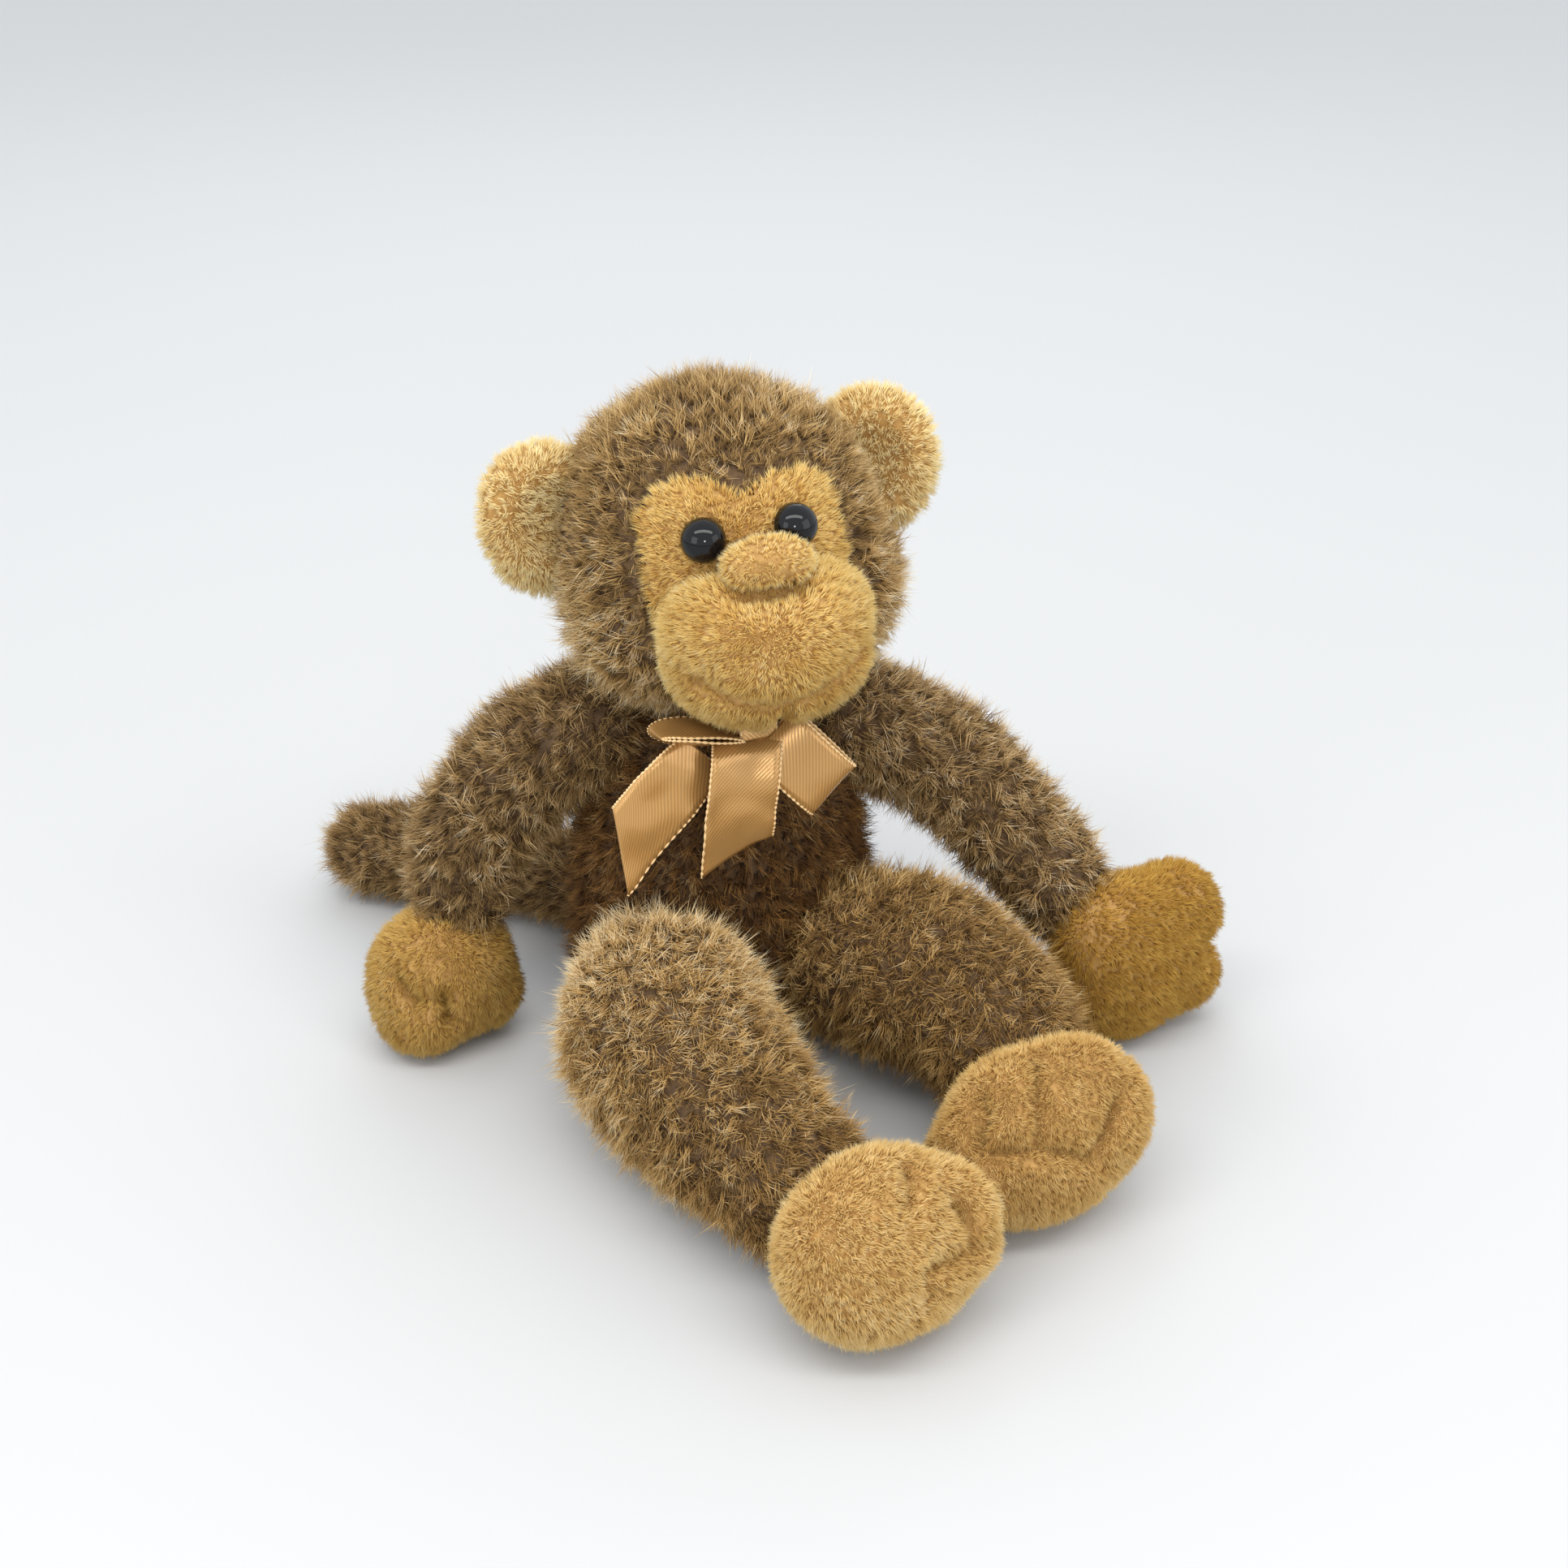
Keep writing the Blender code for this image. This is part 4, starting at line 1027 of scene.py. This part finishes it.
def band(name, path, across, width, slant=0.0, cup=0.0, steps=8, node=None, pinch=None):
    """A satin ribbon along the path, with a row of fine loops along each edge."""
    places, ways, far = rows_of(path, across, steps)
    runs = np.gradient(places, axis=0)
    runs /= np.linalg.norm(runs, axis=1)[:, None]
    faces = np.cross(runs, ways)
    last, half = len(places) - 1, width / 2

    def at(row, side):
        askew = slant * side * max(0.0, (far[row] / far[last] - 0.55) / 0.45)
        found = places[row] + ways[row] * side * half + runs[row] * askew
        found = found + faces[row] * cup * (side**2 - 0.4)
        if pinch:
            middle, face = pinch
            found = found - face * ((found - middle) @ face) * 0.84 * ((1 - side) / 2) ** 1.1
        ripple = noise.noise(Vector(found) / (9 * MM)) * 1.1 + noise.noise(Vector(found) / (4 * MM)) * 0.25
        return found + faces[row] * ripple * MM * (1.0 if width > 18 * MM else 0.3)

    bm = bmesh.new()
    bmesh.ops.create_grid(bm, x_segments=10, y_segments=last, size=1.0)
    spots = {vert: (round((vert.co.y + 1) / 2 * last), vert.co.x) for vert in bm.verts}
    layer = bm.loops.layers.uv.new("Weave")
    for face in bm.faces:
        for loop in face.loops:
            row, side = spots[loop.vert]
            loop[layer].uv = (side * half / MM, far[row] / MM)
    for vert, (row, side) in spots.items():
        vert.co = at(row, side)
    made = mesh_object(name, bm)
    solid = made.modifiers.new("Cloth", "SOLIDIFY")
    solid.thickness = SATIN_THICK
    solid.offset = 0.0
    apply_modifiers(made)
    made.data.shade_smooth()
    made.data.materials.append(bpy.data.materials["satin"])
    edges = [
        picots(f"{name}_edge_{label}", lambda row: at(row, side), far, faces)
        for label, side in (("a", -1), ("b", 1))
    ]
    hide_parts(node)
    for thing in (made, *edges):
        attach(thing, "torso")
    flat = (max(width, NARROWEST_SHEET), float(far[last]))
    return made


def picots(name, at, far, faces):
    """The fine loops along one edge of a ribbon, as a cord that swells at every loop."""
    count = int(far[-1] / (PICOT_STEP * MM))
    rows = np.linspace(0, len(far) - 1, count)
    spine = np.array([at(row) for row in range(len(far))])
    steps = np.arange(len(far))
    centres, outs = (
        np.stack([np.interp(rows, steps, line[:, i]) for i in range(3)], axis=1) for line in (spine, faces)
    )
    runs = np.gradient(centres, axis=0)
    runs /= np.linalg.norm(runs, axis=1)[:, None]
    outs /= np.linalg.norm(outs, axis=1)[:, None]
    sides = np.cross(runs, outs)
    bm = bmesh.new()
    bmesh.ops.create_grid(bm, x_segments=5, y_segments=count - 1, size=1.0)
    for vert in bm.verts:
        row, turn = round((vert.co.y + 1) / 2 * (count - 1)), (vert.co.x + 1) * pi
        radius = (PICOT_CORD + PICOT_SWELL * abs(sin(row * PICOT_STEP * pi / PICOT_PITCH))) * MM
        vert.co = centres[row] + (outs[row] * cos(turn) + sides[row] * sin(turn)) * radius
    bmesh.ops.remove_doubles(bm, verts=bm.verts, dist=0.005 * MM)
    bmesh.ops.holes_fill(bm, edges=[e for e in bm.edges if e.is_boundary])
    bmesh.ops.recalc_face_normals(bm, faces=bm.faces)
    made = mesh_object(name, bm)
    made.data.shade_smooth()
    made.data.materials.append(bpy.data.materials["satin_edge"])
    return made


def loop_path(start, run, face, half, depth, count=14):
    """Places round a flattened loop that leaves `start` along `run`."""
    run, face = Vector(run).normalized(), Vector(face).normalized()
    return [
        start + (run * half * (1 - cos(a)) + face * depth * sin(a)) * MM
        for a in (radians(14 + 332 * i / count) for i in range(count + 1))
    ]


def make_bow():
    bow = bpy.context.scene.bow
    satin_material("satin", bow.colour, (0.74, 0.50, 0.24))
    x, z = Vector((1, 0, 0)), Vector((0, 0, 1))
    knot = mm(-1, -38, 103.5)
    ring = [knot + mm(0, -4.6 * cos(a), 5.2 * sin(a)) for a in (radians(30 * i) for i in range(12))]
    band("bow_knot_band", ring, [x] * 12, 10 * MM, cup=-0.8 * MM, steps=4, node="bow_knot")
    tail = [mm(-14.5, -42, 100), mm(-22, -44.5, 97), mm(-31, -45, 88.5), mm(-40, -45, 78.3)]
    across = [mm(-9, 0, 9), mm(-9, 0, 9), mm(-8, 0.6, 9), mm(-8, 1.2, 8)]
    band("bow_tail_right_band", tail, across, bow.width, slant=-8 * MM, cup=0.9 * MM, node="bow_tail_right")
    tail = [mm(-3.5, -41, 103.5), mm(-6, -46.5, 100.5), mm(-8.2, -49, 88), mm(-8.8, -46, 72.5)]
    across = [x, x, x + z * 0.04, x]
    band("bow_tail_left_band", tail, across, bow.width, slant=-5 * MM, cup=0.9 * MM, node="bow_tail_left")
    start = mm(-6.5, -41.5, 104.5)
    path = loop_path(start, (-0.98, -0.04, 0.2), (0, 0.25, 0.97), 11.5, 3.8)
    pinch, across = (np.array(start), np.array((0.19, 0.25, 0.95))), [mm(0, 1, -0.25)] * len(path)
    band("bow_loop_right_band", path, across, 13 * MM, node="bow_loop_right", pinch=pinch)
    path = loop_path(mm(2.5, -42, 104.5), (0.66, -0.16, -0.72), (-0.16, -0.95, 0.1), 12.0, 4.2)
    band("bow_loop_left_band", path, [mm(0.74, 0.10, 0.66)] * len(path), 17 * MM, node="bow_loop_left")
    turns = [radians(-26 + 232 * i / 12) for i in range(13)]
    path = [mm(2 + 16.5 * cos(a), 14.3 * sin(a), 102.6) for a in turns]
    tilt = [mm(-0.78 * cos(a), -0.78 * sin(a), 0.62) for a in turns]
    path = [mm(1.6, -32.5, 103), *path, mm(-3.6, -32.5, 103)]
    band("neck_ribbon_band", path, [z, *tilt, z], 3.8 * MM, steps=4, node="neck_ribbon")


def dress_inside():
    """Gives the packed solids that lie inside the skins, and the threads, their own finish."""
    looks = {
        "stuffing": "filling", "bean": "pellets", "washer": "washer", "thread": "thread", "gather": "thread",
    }
    for name, thing in frame["nodes"].items():
        look = next((look for part, look in looks.items() if part in name), None)
        if look and not thing.hide_render:
            for held in thing.material_slots:
                held.material = bpy.data.materials[look]


def area_light(name, place, size, power, colour):
    data = bpy.data.lights.new(name, "AREA")
    data.shape = "RECTANGLE"
    data.size, data.size_y = size
    data.energy = power
    data.color = colour
    made = new_object(name, data)
    made.location = place
    made.rotation_euler = (Vector((0, 0, 0.07)) - Vector(place)).to_track_quat("-Z", "Y").to_euler()


def make_stage():
    scene = bpy.context.scene
    turn, rise = scene.stage.azimuth, scene.stage.elevation
    back = Vector((sin(turn) * cos(rise), -cos(turn) * cos(rise), sin(rise)))
    data = bpy.data.cameras.new("camera")
    data.sensor_fit = "HORIZONTAL"
    data.sensor_width = SENSOR
    data.lens = LENS
    camera = new_object("camera", data)
    camera.location = mm(*LOOK_AT) + back * scene.stage.distance
    camera.rotation_mode = "QUATERNION"
    camera.rotation_quaternion = (-back).to_track_quat("-Z", "Y")
    scene.camera = camera
    bm = bmesh.new()
    bmesh.ops.create_grid(bm, x_segments=1, y_segments=1, size=FLOOR_HALF)
    floor = mesh_object("floor", bm)
    floor.data.materials.append(principled("backdrop", PAPER, 0.8)[0])
    scene.world = bpy.data.worlds.new("studio")
    scene.world.use_nodes = True
    background = scene.world.node_tree.nodes["Background"].inputs
    background["Color"].default_value = SKY
    background["Strength"].default_value = SKY_STRENGTH
    for name, light in LIGHTS.items():
        area_light(name, *light)
    scene.view_settings.view_transform = "Standard"


# ---- add-on ----


def builder(idname, label, words, steps):
    """An operator class that runs the steps in order."""

    def execute(self, context):
        for step in steps:
            step()
        return {"FINISHED"}

    return type(
        "PLUSH_OT_" + idname, (bpy.types.Operator,),
        {"bl_idname": "plush." + idname, "bl_label": label, "__doc__": words, "execute": execute},
    )


OPERATORS = (
    builder("stage", "Stage", "Sets the camera, the lights and the pale floor", [make_stage]),
    builder(
        "materials", "Materials", "Makes the pile, cloth and thread materials and the tufts",
        [make_materials, make_tufts],
    ),
    builder("torso", "Torso", "Makes the stuffed torso and its pile", [make_torso]),
    builder("limbs", "Limbs", "Makes the stuffed arms and legs and their pile", [make_limbs]),
    builder("tail", "Tail", "Makes the stuffed tail and its pile", [make_tail]),
    builder("ends", "Hands and feet", "Makes the tan hands and feet", [make_ends]),
    builder("head", "Head", "Makes the stuffed head and its pile", [make_head]),
    builder("face", "Face", "Makes the face patch, the muzzle and the nose", [make_face]),
    builder("ears", "Ears", "Makes both ears", [make_ears]),
    builder("eyes", "Eyes", "Makes both plastic eyes", [make_eyes]),
    builder("bow", "Bow", "Makes the satin bow", [make_bow]),
    builder("inside", "Inside", "Gives the fillings, washers and threads their finish", [dress_inside]),
)


class PLUSH_PT_panel(bpy.types.Panel):
    bl_label = "Plush Monkey"
    bl_space_type = "VIEW_3D"
    bl_region_type = "UI"
    bl_category = "Plush"

    def draw(self, context):
        for operator in OPERATORS:
            self.layout.operator(operator.bl_idname)


CLASSES = (PlushSettings, BowSettings, StageSettings, *OPERATORS, PLUSH_PT_panel)


def register():
    for made in CLASSES:
        bpy.utils.register_class(made)
    bpy.types.Scene.plush = bpy.props.PointerProperty(type=PlushSettings)
    bpy.types.Scene.bow = bpy.props.PointerProperty(type=BowSettings)
    bpy.types.Scene.stage = bpy.props.PointerProperty(type=StageSettings)


def unregister():
    for name in ("plush", "bow", "stage"):
        delattr(bpy.types.Scene, name)
    for made in reversed(CLASSES):
        bpy.utils.unregister_class(made)


def main():
    register()
    for operator in OPERATORS:
        getattr(bpy.ops.plush, operator.bl_idname.split(".")[1])()


if __name__ == "__main__":
    main()
